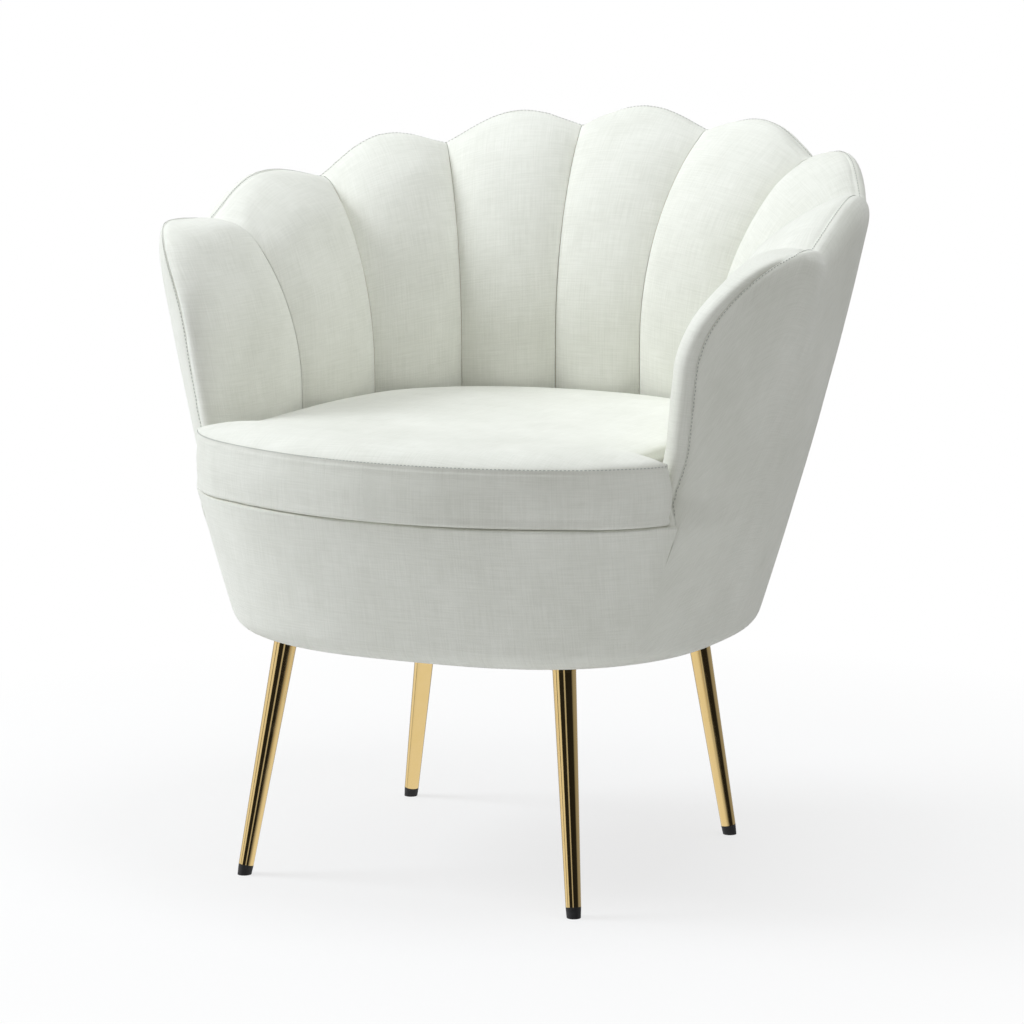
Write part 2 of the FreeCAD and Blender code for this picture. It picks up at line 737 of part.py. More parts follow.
posts = []
for side in (-1, 1):
    for label, reach in (("front", "-Sizes.post_front_reach"), ("back", "Sizes.post_back_reach")):
        post = doc.addObject("Part::Box", "post_%s_%d" % (label, side + 1))
        post.setExpression("Length", "Sizes.post_width")
        post.setExpression("Width", "Sizes.post_width")
        post.setExpression("Height", "Sizes.seat_ring_height - Sizes.underside_height - Sizes.cover_thickness"
                                     " - Sizes.layer_clearance - Sizes.base_board_thickness")
        post.setExpression("Placement.Base.x", "%d * Sizes.post_half_spacing - Sizes.post_width / 2" % side)
        post.setExpression("Placement.Base.y", "Sizes.tub_centre_y + %s - Sizes.post_width / 2" % reach)
        post.setExpression("Placement.Base.z", "Sizes.underside_height + Sizes.cover_thickness"
                                               " + Sizes.layer_clearance + Sizes.base_board_thickness")
        posts.append(post)
corner_posts = doc.addObject("Part::Compound", "corner_posts")
corner_posts.Links = posts
named(corner_posts, "corner_posts")


# Springs and deck

wire_radius = size.spring_wire_radius
wire_height = RING_TOP + size.clip_floor + size.layer_clearance + wire_radius
runs = int(size.spring_runs)
spring_length = size.seat_opening_front + size.seat_opening_back + 2 * size.clip_width
pitch = spring_length / (runs - 1)
start_y = -size.seat_opening_front - size.clip_width
springs = []
clips = []
for number in range(-2, 3):
    x = number * size.spring_spacing
    edges = []
    half = size.spring_half_width
    for turn in range(runs):
        way = 1 if turn % 2 == 0 else -1
        first = centre + Vector(x - way * half, start_y + pitch * turn, wire_height)
        last = centre + Vector(x + way * half, start_y + pitch * turn, wire_height)
        edges.append(line(first, last))
        if turn < runs - 1:
            bend = last + Vector(way * pitch / 2, pitch / 2, 0)
            edges.append(arc(last, bend, last + Vector(0, pitch, 0)))
    path = Part.Wire(edges)
    tip = centre + Vector(x - half, start_y, wire_height)
    ring_wire = Part.Wire([Part.makeCircle(wire_radius, tip, Vector(1, 0, 0))])
    springs.append(path.makePipeShell([ring_wire], True, False))
    for end_y in (start_y, start_y + spring_length):
        corner = centre + Vector(x - size.clip_length / 2, end_y - size.clip_width / 2, RING_TOP)
        block = Part.makeBox(size.clip_length, size.clip_width, size.clip_height, corner)
        bore = Part.makeCylinder(wire_radius + 0.3, size.clip_length, centre
                                 + Vector(x - size.clip_length / 2, end_y, wire_height), Vector(1, 0, 0))
        clips.append(block.cut(bore))
node(Part.makeCompound(springs), "zigzag_springs")
node(Part.makeCompound(clips), "spring_clips")


def deck_plate(bottom, thickness, front_inset):
    """Deck layer: a round back between the arms and a wide front in front of them."""
    steps = 48
    turns = [2 * math.pi * step / steps for step in range(steps)]
    reach = size.inner_half_width - size.deck_side_gap
    points = [at(turn, oval(turn, reach, reach, size.deck_squareness), bottom) for turn in turns]
    curve = Part.BSplineCurve()
    curve.interpolate(Points=points, PeriodicFlag=True)
    back = Part.Face(Part.Wire([curve.toShape()])).extrude(up * thickness)
    front = plan_face(front_inset + size.curve_allowance, bottom, bottom).extrude(up * thickness)
    corner = centre + Vector(-500, -size.cushion_ear_reach - 500, bottom - 1)
    front = front.common(Part.makeBox(1000, 500, thickness + 2, corner))
    return back.fuse(front).removeSplitter()


deck_pad_bottom = deck_under - size.deck_pad_thickness
inset = size.cover_thickness + size.wall_padding_thickness + size.outer_board_thickness + 4 * size.layer_clearance
node(deck_plate(deck_pad_bottom, size.deck_pad_thickness, inset), "deck_pad")
node(deck_plate(deck_under + size.layer_clearance, size.deck_cover_thickness,
                size.cover_thickness + size.layer_clearance), "deck_cover")


# Seat cushion

def cushion_outline(height, inset, across=1.0, ahead=1.0, behind=1.0):
    """Outline of the cushion, drawn in towards the line behind its ears: bowed front, ears, round back."""
    half = size.inner_half_width - size.cushion_side_gap - inset
    back = size.inner_back_reach - size.cushion_back_gap - inset
    ear = size.cushion_ear_half_width - inset
    ear_back = -(size.cushion_ear_reach + inset)
    front = -(size.cushion_front_reach - inset)
    corner = Vector(size.cushion_corner_x - 0.6 * inset, -(size.cushion_corner_reach - 0.8 * inset), 0)
    edge = Vector(ear, ear_back - 9.0, 0)
    bow = (edge - corner)
    swell = Vector(-bow.y, bow.x, 0).normalize() * -9.0
    elbow = (corner + edge) * 0.5 + swell
    knuckle = Vector(ear - 2.6, ear_back - 2.6, 0)
    ear_inner = Vector(ear - 9.0, ear_back, 0)
    inner = Vector(half, ear_back, 0)
    side = Vector(half, 0, 0)

    def rear(degrees):
        turn = math.radians(degrees)
        radius = oval(turn, half, back, size.deck_squareness)
        return Vector(radius * math.sin(turn), radius * math.cos(turn), 0)

    def put(point, mirror):
        x = -point.x if mirror else point.x
        run = (point.y - ear_back) * (ahead if point.y < ear_back else behind)
        return centre + Vector(x * across, ear_back + run, height)

    right = [(corner, elbow, edge), (edge, knuckle, ear_inner), (ear_inner, None, inner), (inner, None, side),
             (side, rear(67.5), rear(45)), (rear(45), rear(22.5), Vector(0, back, 0))]
    edges = [arc(put(corner, True), put(Vector(0, front, 0), False), put(corner, False))]
    for first, middle_point, last in right:
        if middle_point is None:
            edges.append(line(put(first, False), put(last, False)))
        else:
            edges.append(arc(put(first, False), put(middle_point, False), put(last, False)))
    for first, middle_point, last in reversed(right):
        if middle_point is None:
            edges.append(line(put(last, True), put(first, True)))
        else:
            edges.append(arc(put(last, True), put(middle_point, True), put(first, True)))
    return Part.Wire(edges)


def cushion_solid(inset):
    base = size.cushion_base_height + inset
    seam = size.cushion_seam_height
    crown = size.cushion_crown_height - inset
    rise = crown - seam
    levels = [(base, 5.0, 1.0, 1.0, 1.0), (base + 7, 1.0, 1.0, 1.0, 1.0), ((base + seam) / 2, 0.0, 1.0, 1.0, 1.0),
              (seam - 8, 0.8, 1.0, 1.0, 1.0), (seam, 2.5, 1.0, 1.0, 1.0), (seam + rise * 0.4, 6.0, 1.0, 1.0, 1.0),
              (seam + rise * 0.7, 6.0, 0.955, 0.93, 0.975), (seam + rise * 0.9, 6.0, 0.86, 0.78, 0.92),
              (crown, 6.0, 0.66, 0.5, 0.8)]
    return Part.makeLoft([cushion_outline(height, inset + draw, across, ahead, behind)
                          for height, draw, across, ahead, behind in levels], True, True)


outer_cushion = cushion_solid(0.0)
inner_cushion = cushion_solid(size.cover_thickness)
foam_cushion = cushion_solid(size.cover_thickness + 2 * size.layer_clearance)
shell = outer_cushion.cut(inner_cushion)
corner = centre + Vector(-500, -500, 0)
seam = size.cushion_seam_height
low_seam = size.cushion_base_height + 5.0
node(shell.common(Part.makeBox(1000, 1000, 100, corner + up * seam)), "cushion_top_panel")
node(shell.common(Part.makeBox(1000, 1000, seam - low_seam, corner + up * low_seam)), "cushion_band")
node(shell.common(Part.makeBox(1000, 1000, 100, corner + up * (low_seam - 100))), "cushion_base_panel")
node(foam_cushion, "cushion_foam")


# Legs

def along_leg(foot, top, distance):
    """Placement on a leg's axis at a distance from the floor point."""
    way = (top - foot).normalize()
    return Placement(foot + way * distance, Rotation(up, way))


plates = []
screws = []
for leg in LEGS:
    foot, top = leg_line(leg)
    name = leg[0]
    length = (top - foot).Length
    tube = doc.addObject("Part::Cone", "%s_tube" % name)
    tube.setExpression("Radius1", "Sizes.leg_foot_radius")
    tube.setExpression("Radius2", "Sizes.leg_top_radius")
    tube.Height = length - size.cap_height + 6.0
    tube.Placement = along_leg(foot, top, size.cap_height)
    bore = doc.addObject("Part::Cone", "%s_bore" % name)
    bore.setExpression("Radius1", "Sizes.leg_foot_radius - Sizes.leg_wall")
    bore.setExpression("Radius2", "Sizes.leg_top_radius - Sizes.leg_wall")
    bore.Height = length - size.cap_height + 6.0
    bore.Placement = along_leg(foot, top, size.cap_height)
    hollow = doc.addObject("Part::Cut", "%s_hollow" % name)
    hollow.Base = tube
    hollow.Tool = bore
    room = doc.addObject("Part::Box", "%s_room" % name)
    room.Length = 1000
    room.Width = 1000
    room.setExpression("Height", "Sizes.leg_top_height")
    room.Placement.Base = Vector(-500, -500, 0)
    trimmed = doc.addObject("Part::Common", "leg_%s" % name)
    trimmed.Base = hollow
    trimmed.Tool = room
    named(trimmed, "leg_%s" % name)

    puck = Part.makeCone(size.leg_foot_radius - 0.9, size.leg_foot_radius, size.cap_height + 3.0)
    puck.Placement = along_leg(foot, top, -3.0)
    plug = Part.makeCylinder(size.leg_foot_radius - size.leg_wall - 0.1, size.cap_plug_length)
    plug.Placement = along_leg(foot, top, size.cap_height)
    above = Part.makeBox(1000, 1000, 100, Vector(-500, -500, 0))
    node(puck.fuse(plug).common(above).removeSplitter(), "foot_cap_%s" % name)

    middle, inward = plate_centre(leg)
    flange = Part.makeCylinder(size.leg_top_radius, size.leg_plate_thickness, top)
    plate = Part.makeCylinder(size.leg_plate_radius, size.leg_plate_thickness, middle).fuse(flange)
    plate = plate.removeSplitter()
    for spot in screw_spots(leg):
        plate = plate.cut(Part.makeCylinder(size.leg_screw_radius + 0.3, size.leg_plate_thickness, spot))
        head = Part.makeCone(size.leg_screw_head_radius - 1.2, size.leg_screw_head_radius, 2.0, spot - up * 2.0)
        shank = Part.makeCylinder(size.leg_screw_radius, size.leg_screw_length, spot)
        screws.append(head.fuse(shank).removeSplitter())
    plates.append(plate)
node(Part.makeCompound(plates), "leg_plates")
node(Part.makeCompound(screws), "leg_screws")

doc.recompute()

# Every object and every sub-part has to be sound before anything is written
for feature in doc.Objects:
    if "Invalid" in feature.State or "Error" in feature.State:
        raise RuntimeError("failed object: %s" % feature.Label)
for feature in nodes:
    if feature.Shape.isNull() or not feature.Shape.isValid():
        raise RuntimeError("unsound sub-part: %s" % feature.Label)
    if not feature.Shape.Solids:
        raise RuntimeError("no solid in sub-part: %s" % feature.Label)

os.makedirs("parts", exist_ok=True)
for feature in nodes:
    feature.Shape.exportStep("parts/%s.step" % feature.Label)
print("%d sub-parts, %d solids" % (len(nodes), sum(len(f.Shape.Solids) for f in nodes)))
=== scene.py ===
import math

import bpy
import numpy as np
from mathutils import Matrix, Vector, noise
from mathutils.kdtree import KDTree


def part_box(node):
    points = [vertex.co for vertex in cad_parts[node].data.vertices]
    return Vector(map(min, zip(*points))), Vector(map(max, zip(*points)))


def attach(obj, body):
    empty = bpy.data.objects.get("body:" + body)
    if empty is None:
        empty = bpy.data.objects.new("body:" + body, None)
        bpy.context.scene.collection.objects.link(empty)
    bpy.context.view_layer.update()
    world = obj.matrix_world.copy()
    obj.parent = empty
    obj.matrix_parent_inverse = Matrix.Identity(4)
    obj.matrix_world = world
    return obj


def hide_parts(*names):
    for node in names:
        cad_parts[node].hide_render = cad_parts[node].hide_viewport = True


bl_info = {
    "name": "Scallop back chair",
    "version": (1, 0, 0),
    "blender": (4, 5, 0),
    "location": "View3D > Sidebar > Chair",
    "description": "Velvet tub chair with a channelled scallop back, loose seat cushion and gold legs",
    "category": "Object",
}

# Metres, +Z up, the front faces -Y, the floor is z = 0.
# Plan angles are measured from +Y, the middle of the back, towards +X.

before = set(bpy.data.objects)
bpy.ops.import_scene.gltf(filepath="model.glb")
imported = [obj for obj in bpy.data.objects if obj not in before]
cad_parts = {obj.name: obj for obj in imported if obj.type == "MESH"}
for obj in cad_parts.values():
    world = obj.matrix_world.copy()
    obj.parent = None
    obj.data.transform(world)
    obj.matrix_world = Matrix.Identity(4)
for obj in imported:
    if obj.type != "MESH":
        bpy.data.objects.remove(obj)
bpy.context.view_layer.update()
PREFIX = "scallop_chair"

# Squareness of the ovals: the tub's back, its front, the inner walls at the seat, the seat itself
SQUARE_BACK = 2.4
SQUARE_FRONT = 2.5
SQUARE_INNER = 2.6
SQUARE_SEAT = 2.3

PAD_BOTTOM = 0.398
ARM_TOP_HEIGHT = 0.681
BACK_CHANNELS = 7
CHANNEL_ROWS = 76
CHANNEL_COLUMNS = 37
ARM_ROWS = CHANNEL_ROWS + 24
ARM_COLUMNS = 64
ARM_BULGE_COLUMNS = 34
CHANNEL_DEPTH = 0.0065
COVER_DEPTH = 0.003
WELT_WIDTH = 0.024
WELT_FADE = 0.136

# The cushion's ears and the notches behind them: radius of the corner, and how far it is cut in
EAR_ROUND, EAR_CUT = 0.009, 0.0026
NOTCH_ROUND, NOTCH_CUT = 0.006, 0.0018
CUSHION_SIDE = (6, 24)
BAND_INSET = 0.0012
DECK_HALF = 0.2375


def length(name, description, default):
    return bpy.props.FloatProperty(name=name, description=description, default=default,
                                   unit="LENGTH", subtype="DISTANCE")


def angle(name, description, degrees):
    return bpy.props.FloatProperty(name=name, description=description, default=math.radians(degrees),
                                   unit="ROTATION", subtype="ANGLE")


def colour(name, description, default):
    return bpy.props.FloatVectorProperty(name=name, description=description, default=default, size=4,
                                         min=0.0, max=1.0, subtype="COLOR")


def plain(name, description, default):
    return bpy.props.FloatProperty(name=name, description=description, default=default)


class ChairSizes(bpy.types.PropertyGroup):
    centre_y: length("Tub centre", "Plan centre of the tub along Y", -0.05767)
    underside: length("Underside", "Height of the drum's underside", 0.257)
    shoulder: length("Shoulder", "Height where the bottom edge starts to round", 0.285)
    waist: length("Waist", "Height of the middle size of the tub", 0.490)
    rim: length("Rim", "Height of the widest size of the tub", 0.700)
    deck: length("Deck", "Height of the deck under the cushion", 0.4127)
    shoulder_width: length("Shoulder width", "Half width at the shoulder", 0.284)
    waist_width: length("Waist width", "Half width at the waist", 0.341)
    rim_width: length("Rim width", "Half width at the rim", 0.388)
    shoulder_back: length("Shoulder back", "Back reach at the shoulder", 0.262)
    waist_back: length("Waist back", "Back reach at the waist", 0.322)
    rim_back: length("Rim back", "Back reach at the rim", 0.378)
    shoulder_front: length("Shoulder front", "Front reach at the shoulder", 0.256)
    apron_front: length("Apron front", "Front reach at the apron's top", 0.281)
    arm_front: length("Arm front", "Front reach of the oval that the arms follow", 0.230)
    blend_low: length("Blend start", "Height where the apron's oval turns into the arms'", 0.400)
    blend_high: length("Blend end", "Height where the arms' oval starts", 0.438)
    bottom_radius: length("Bottom edge", "Radius of the rounded bottom edge", 0.028)
    inner_width: length("Inner width", "Half width inside at the seat", 0.254)
    inner_back: length("Inner back", "Back reach inside at the seat", 0.256)
    flare_back: length("Back flare", "Radius of the back channels' flare", 0.284)
    flare_arm: length("Arm flare", "Radius of the arm channels' flare", 0.250)
    seam_1: angle("First seam", "Plan angle of the seams next to the middle", 11.8)
    seam_2: angle("Second seam", "Plan angle of the second seams", 35.3)
    seam_3: angle("Third seam", "Plan angle of the third seams", 57.8)
    seam_4: angle("Fourth seam", "Plan angle of the seams next to the arms", 86.0)
    arm_angle: angle("Arm front angle", "Plan angle of the arms' front edge", 116.6)
    arm_low_angle: angle("Arm low angle", "The same beside the cushion", 118.8)
    apron_angle: angle("Apron seam angle", "Plan angle of the apron's seam at the bottom", 123.0)
    valley_arm: length("Arm valley", "Height of the valley next to the arms", 0.680)
    valley_gain: length("Back valley gain", "How much higher the back valleys are", 0.096)
    rise_back: length("Back scallop", "Rise of the back scallops", 0.025)
    rise_side: length("Side scallop", "Rise of the side scallops", 0.030)
    inset: length("Crest inset", "How far in the crest line is at a valley", 0.012)
    inset_scallop: length("Scallop inset", "The same at the top of a scallop", 0.018)
    arm_valley_inset: length("Arm valley inset", "How much further in the outermost valleys are", 0.010)
    arm_valley_forward: length("Arm valley shift", "How much further forward they are", 0.020)
    arm_inset: length("Arm line inset", "How far in the arm's sewn line is near its top", 0.002)
    bulge: length("Channel bulge", "How far the channels stand out at the seat", 0.010)
    arm_peak: length("Arm peak", "Height of the arms' highest point", 0.689)
    arm_peak_reach: length("Arm peak reach", "How far it is in front of the centre", 0.053)
    arm_corner: length("Arm corner", "Height where the arm's edge starts to curve back", 0.575)
    arm_roll: length("Arm roll", "Width of the arms' rolled front", 0.030)
    arm_welt: length("Arm welt", "How far the velvet stands out beside the arms' edge", 0.0072)
    cushion_base: length("Cushion base", "Height of the cushion's underside", 0.4132)
    cushion_seam: length("Cushion seam", "Height of the cushion's stitched top edge", 0.472)
    cushion_crown: length("Cushion crown", "Height of the cushion's crown", 0.490)
    cushion_half: length("Cushion half width", "Half width between the arms", 0.237)
    cushion_back: length("Cushion back", "Back reach of the cushion", 0.237)
    cushion_front: length("Cushion front", "Front reach of the cushion", 0.287)
    ear_half: length("Ear half width", "Half width of the cushion in front of the arms", 0.281)
    ear_reach: length("Ear reach", "Line behind the cushion's ears", 0.157)
    stitch_pitch: length("Stitch pitch", "Distance from stitch to stitch", 0.0042)
    stitch_length: length("Stitch length", "Length of one stitch", 0.0029)
    thread_radius: length("Thread radius", "Radius of the sewing thread", 0.00046)


class ChairFinish(bpy.types.PropertyGroup):
    velvet: colour("Velvet", "Colour of the velvet", (0.910, 0.913, 0.842, 1.0))
    velvet_shade: colour("Velvet shade", "Pile laid the other way", (0.755, 0.760, 0.682, 1.0))
    thread: colour("Thread", "Colour of the sewing thread", (0.55, 0.56, 0.52, 1.0))
    gold: colour("Gold", "Colour of the polished legs", (0.80, 0.585, 0.24, 1.0))
    rubber: colour("Foot caps", "Colour of the foot caps", (0.012, 0.012, 0.013, 1.0))
    ply_light: colour("Plywood light", "Light grain of the plywood", (0.62, 0.45, 0.27, 1.0))
    ply_dark: colour("Plywood dark", "Dark grain of the plywood", (0.42, 0.27, 0.14, 1.0))
    steel: colour("Steel", "Colour of springs and screws", (0.50, 0.50, 0.51, 1.0))
    cloth: colour("Lining cloth", "Colour of the lining and dust cloth", (0.035, 0.035, 0.038, 1.0))
    clip: colour("Spring clips", "Colour of the spring clips", (0.70, 0.68, 0.62, 1.0))


class ChairStage(bpy.types.PropertyGroup):
    azimuth: angle("Azimuth", "Direction of the camera round the chair", 26.45)
    elevation: angle("Elevation", "Height of the camera above the horizon", 9.9)
    distance: length("Distance", "Distance of the camera", 4.51)
    lens: plain("Lens", "Focal length in millimetres on a 36 mm sensor", 145.9)
    key_power: plain("Key light", "Power of the large light on the left in watts", 73.5)
    top_power: plain("Top light", "Power of the light above the seat in watts", 25.0)
    sky: plain("Sky", "Strength of the even light all round", 0.365)


def sizes():
    return bpy.context.scene.scallop_chair_sizes


def finish():
    return bpy.context.scene.scallop_chair_finish


# Surfaces of the tub

def through(height, low, middle, high):
    """Smooth profile through its values at shoulder, waist and rim."""
    s = sizes()
    a, b, c = s.shoulder, s.waist, s.rim
    return (low * (height - b) * (height - c) / ((a - b) * (a - c))
            + middle * (height - a) * (height - c) / ((b - a) * (b - c))
            + high * (height - a) * (height - b) / ((c - a) * (c - b)))


def oval(turn, half_width, reach, squareness):
    """Radius of a squared oval at a plan angle."""
    side = abs(math.sin(turn)) / half_width
    end = abs(math.cos(turn)) / reach
    return (side ** squareness + end ** squareness) ** (-1.0 / squareness)


def half_width(height):
    s = sizes()
    return through(height, s.shoulder_width, s.waist_width, s.rim_width)


def drum_reach(height):
    s = sizes()
    slope = (s.apron_front - s.shoulder_front) / (s.deck - s.shoulder)
    return s.shoulder_front + slope * (height - s.shoulder)


def front_reach(height):
    s = sizes()
    blend = smoothstep((height - s.blend_low) / (s.blend_high - s.blend_low))
    return drum_reach(min(height, s.blend_high)) * (1 - blend) + s.arm_front * blend


def outer_radius(turn, height, apron=False):
    """Radius of the finished outside from the plan centre."""
    s = sizes()
    if math.cos(turn) >= 0:
        back = through(height, s.shoulder_back, s.waist_back, s.rim_back)
        return oval(turn, half_width(height), back, SQUARE_BACK)
    reach = drum_reach(height) if apron else front_reach(height)
    return oval(turn, half_width(height), reach, SQUARE_FRONT)


def spot(turn, radius, height):
    return np.array([radius * math.sin(turn), sizes().centre_y + radius * math.cos(turn), height])


def outward(turn):
    return np.array([math.sin(turn), math.cos(turn), 0.0])


def valley_height(turn):
    s = sizes()
    return s.valley_arm + s.valley_gain * max(math.cos(turn), 0.0) ** 1.5


def seam_angles():
    s = sizes()
    side = [s.seam_1, s.seam_2, s.seam_3, s.seam_4]
    return [-a for a in reversed(side)] + side


def smoothstep(x):
    x = min(max(x, 0.0), 1.0)
    return x * x * (3 - 2 * x)


def spline(points, count, ease=None):
    """Points along a smooth curve through the given rows, evenly spaced unless eased."""
    rows = np.asarray(points, float)
    n = len(rows) - 1
    made = []
    for step in range(count):
        x = step / (count - 1)
        x = (ease(x) if ease else x) * n
        k = min(int(x), n - 1)
        t = x - k
        before = rows[max(k - 1, 0)] if k > 0 else 2 * rows[0] - rows[1]
        after = rows[min(k + 2, n)] if k < n - 1 else 2 * rows[n] - rows[n - 1]
        a, b = rows[k], rows[k + 1]
        made.append(0.5 * (2 * a + (b - before) * t + (2 * before - 5 * a + 4 * b - after) * t * t
                           + (3 * a - before - 3 * b + after) * t ** 3))
    return np.array(made)


def crest_spot(turn):
    """Valley point of the sewn crest line at a seam."""
    s = sizes()
    top = valley_height(turn)
    place = spot(turn, outer_radius(turn, top) - s.inset, top)
    if abs(turn) > s.seam_4 - 0.001:
        place += np.array([math.copysign(s.arm_valley_inset, -turn), -s.arm_valley_forward, 0.003])
    return place


def seam_rows(turn):
    """Rows up a seam from under the cushion to the crest: x, y, z, lean, swell share."""
    s = sizes()
    share = (abs(turn) / s.seam_4) ** 2
    roll = 0.010 + 0.048 * share
    drop = 0.004 + 0.016 * share
    flare = s.flare_back + (s.flare_arm - s.flare_back) * share
    top = valley_height(turn)
    rim = outer_radius(turn, top) - s.inset
    low = oval(turn, s.inner_width, s.inner_back, SQUARE_INNER)
    spread = rim - roll - low
    rise = math.sqrt(2 * flare * spread - spread ** 2)
    start = top - drop - rise
    lean = math.asin(rise / flare)
    rows = [(low, PAD_BOTTOM + (start - PAD_BOTTOM) * part, 0.0, 0.0)
            for part in (0.0, 0.35, 0.7, 1.0)]
    for step in range(1, 9):
        turned = lean * step / 8
        rows.append((low + flare * (1 - math.cos(turned)), start + flare * math.sin(turned), turned,
                     0.8 * (step / 8) ** 1.5))
    crest = math.radians(95)
    reach = math.hypot(roll, drop)
    for part in (1 / 3, 2 / 3):
        pull_up = part * (1 - part) ** 2 * reach
        pull_out = part ** 2 * (1 - part) * reach
        ease = part ** 2 * (3 - 2 * part)
        rows.append((rim - roll + roll * ease + math.sin(lean) * pull_up - pull_out,
                     top - drop + drop * ease + math.cos(lean) * pull_up,
                     lean + (crest - lean) * part, 0.8 + 0.2 * part))
    rows.append((rim, top, crest, 1.0))
    drawn = crest_spot(turn) - spot(turn, rim, top)
    made = []
    for radius, height, tilt, swelling in rows:
        place = spot(turn, radius, height) + drawn * smoothstep((height - 0.46) / (top - 0.46))
        made.append(list(place) + [tilt, swelling])
    return np.array(made)


def scallop(t):
    """Outline of a scallop between two valleys."""
    return math.sin(math.pi * t) ** 1.15 if 0 < t < 1 else 0.0


def scallop_rise(turn):
    s = sizes()
    return s.rise_back + (s.rise_side - s.rise_back) * abs(turn) / s.seam_4


def scallop_middle(index):
    """Highest point of the crest line of a back channel."""
    s = sizes()
    seams = seam_angles()
    middle = (seams[index] + seams[index + 1]) / 2
    top = (valley_height(seams[index]) + valley_height(seams[index + 1])) / 2 + scallop_rise(middle)
    beside_arm = 1.0 if index in (0, BACK_CHANNELS - 1) else 0.0
    place = spot(middle, outer_radius(middle, top) - s.inset_scallop - 0.006 * beside_arm, top)
    return place - np.array([0, 0.008, 0]) * beside_arm


def crest_line(index, t):
    """Point on the sewn crest line of a back channel, t from seam to seam."""
    seams = seam_angles()
    left = crest_spot(seams[index])
    right = crest_spot(seams[index + 1])
    lift = scallop_middle(index) - (left + right) / 2
    return left * (1 - t) + right * t + lift * scallop(t)


def arm_top(reach):
    """Height of the arm's edge line at a distance in front of the plan centre."""
    s = sizes()
    seam = -(crest_spot(s.seam_4)[1] - s.centre_y)
    if reach < s.arm_peak_reach:
        share = (s.arm_peak_reach - reach) / (s.arm_peak_reach - seam)
        return s.arm_peak - (s.arm_peak - crest_spot(s.seam_4)[2]) * share ** 2
    front = -outer_radius(s.arm_angle, s.arm_corner) * math.cos(s.arm_angle)
    share = min((reach - s.arm_peak_reach) / (front - s.arm_peak_reach), 1.0)
    return s.arm_corner + (s.arm_peak - s.arm_corner) * math.sqrt(1 - share ** 2)


def side_spot(reach, height, inset=0.0):
    """Point on the right outside at a distance in front of the plan centre."""
    s = sizes()
    if reach > 0:
        inside = max(1 - (reach / front_reach(height)) ** SQUARE_FRONT, 0.0) ** (1 / SQUARE_FRONT)
    else:
        back = through(height, s.shoulder_back, s.waist_back, s.rim_back)
        inside = max(1 - (-reach / back) ** SQUARE_BACK, 0.0) ** (1 / SQUARE_BACK)
    return np.array([half_width(height) * inside - inset, s.centre_y - reach, height])


def edge_turn(height):
    """Plan angle of the arm's front edge, and of the apron's side seam below it."""
    s = sizes()
    beside = smoothstep((s.cushion_seam + 0.02 - height) / (s.cushion_seam + 0.02 - s.deck))
    below = min(max((s.deck - height) / (s.deck - s.shoulder), 0.0), 1.0)
    return (s.arm_angle + (s.arm_low_angle - s.arm_angle) * beside
            + (s.apron_angle - s.arm_low_angle) * below)


def arm_front_edge(height):
    """Point of the right arm's sewn front edge at a height."""
    s = sizes()
    if height <= s.arm_corner:
        turn = edge_turn(height)
        return spot(turn, outer_radius(turn, height), height)
    front = -outer_radius(s.arm_angle, s.arm_corner) * math.cos(s.arm_angle)
    share = min((height - s.arm_corner) / (s.arm_peak - s.arm_corner), 1.0)
    reach = s.arm_peak_reach + (front - s.arm_peak_reach) * math.sqrt(1 - share ** 2)
    return side_spot(reach, height, s.arm_inset * smoothstep((height - s.arm_corner) / 0.06))


def arm_crest_line(t):
    """Point on the right arm's crest line, from the fourth seam to the top of its front edge."""
    s = sizes()
    start = crest_spot(s.seam_4)
    end = arm_front_edge(ARM_TOP_HEIGHT)
    first = s.centre_y - start[1]
    last = s.centre_y - end[1]
    reach = first + (last - first) * t
    height = arm_top(reach) if t < 1 else ARM_TOP_HEIGHT
    valley = (s.inset + s.arm_valley_inset) * (1 - smoothstep(t * 1.1))
    return side_spot(reach, height, valley + s.arm_inset * smoothstep(t * 1.6))


def flipped(points):
    """Mirror image in the chair's middle plane."""
    return np.asarray(points) * np.array([-1.0, 1.0, 1.0])


# Meshes

def make_piece(name, vertices, faces, runs):
    """A mesh object with smooth faces turned outwards and its cloth map in metres."""
    mesh = bpy.data.meshes.new(name)
    mesh.from_pydata([tuple(v) for v in vertices], [], faces)
    layer = mesh.uv_layers.new(name="cloth")
    corners = np.zeros(len(mesh.loops), dtype=np.int32)
    mesh.loops.foreach_get("vertex_index", corners)
    layer.data.foreach_set("uv", np.asarray(runs, float)[corners].astype(np.float32).ravel())
    mesh.polygons.foreach_set("use_smooth", [True] * len(mesh.polygons))
    mesh.validate()
    mesh.update()
    piece = bpy.data.objects.new(name, mesh)
    bpy.context.scene.collection.objects.link(piece)
    if sum_volume(piece) < 0:
        mesh.flip_normals()
    return piece


def lofted(loops):
    """Faces between closed loops of equal length, with both ends closed."""
    count = len(loops[0])
    last = (len(loops) - 1) * count
    faces = []
    for k in range(len(loops) - 1):
        for c in range(count):
            d = (c + 1) % count
            faces.append((k * count + c, k * count + d, (k + 1) * count + d, (k + 1) * count + c))
    return faces + [tuple(reversed(range(count))), tuple(range(last, last + count))]


def cloth_runs(grid):
    """Distances across and along a grid of points, for the weave."""
    across = np.zeros(grid.shape[:2])
    along = np.zeros(grid.shape[:2])
    across[:, 1:] = np.cumsum(np.linalg.norm(np.diff(grid, axis=1), axis=2), axis=1)
    across -= across[:, [across.shape[1] // 2]]
    along[1:, :] = np.cumsum(np.linalg.norm(np.diff(grid, axis=0), axis=2), axis=0)
    middle = along.mean(axis=1, keepdims=True)
    return np.dstack([across, along * 0.3 + middle * 0.7])


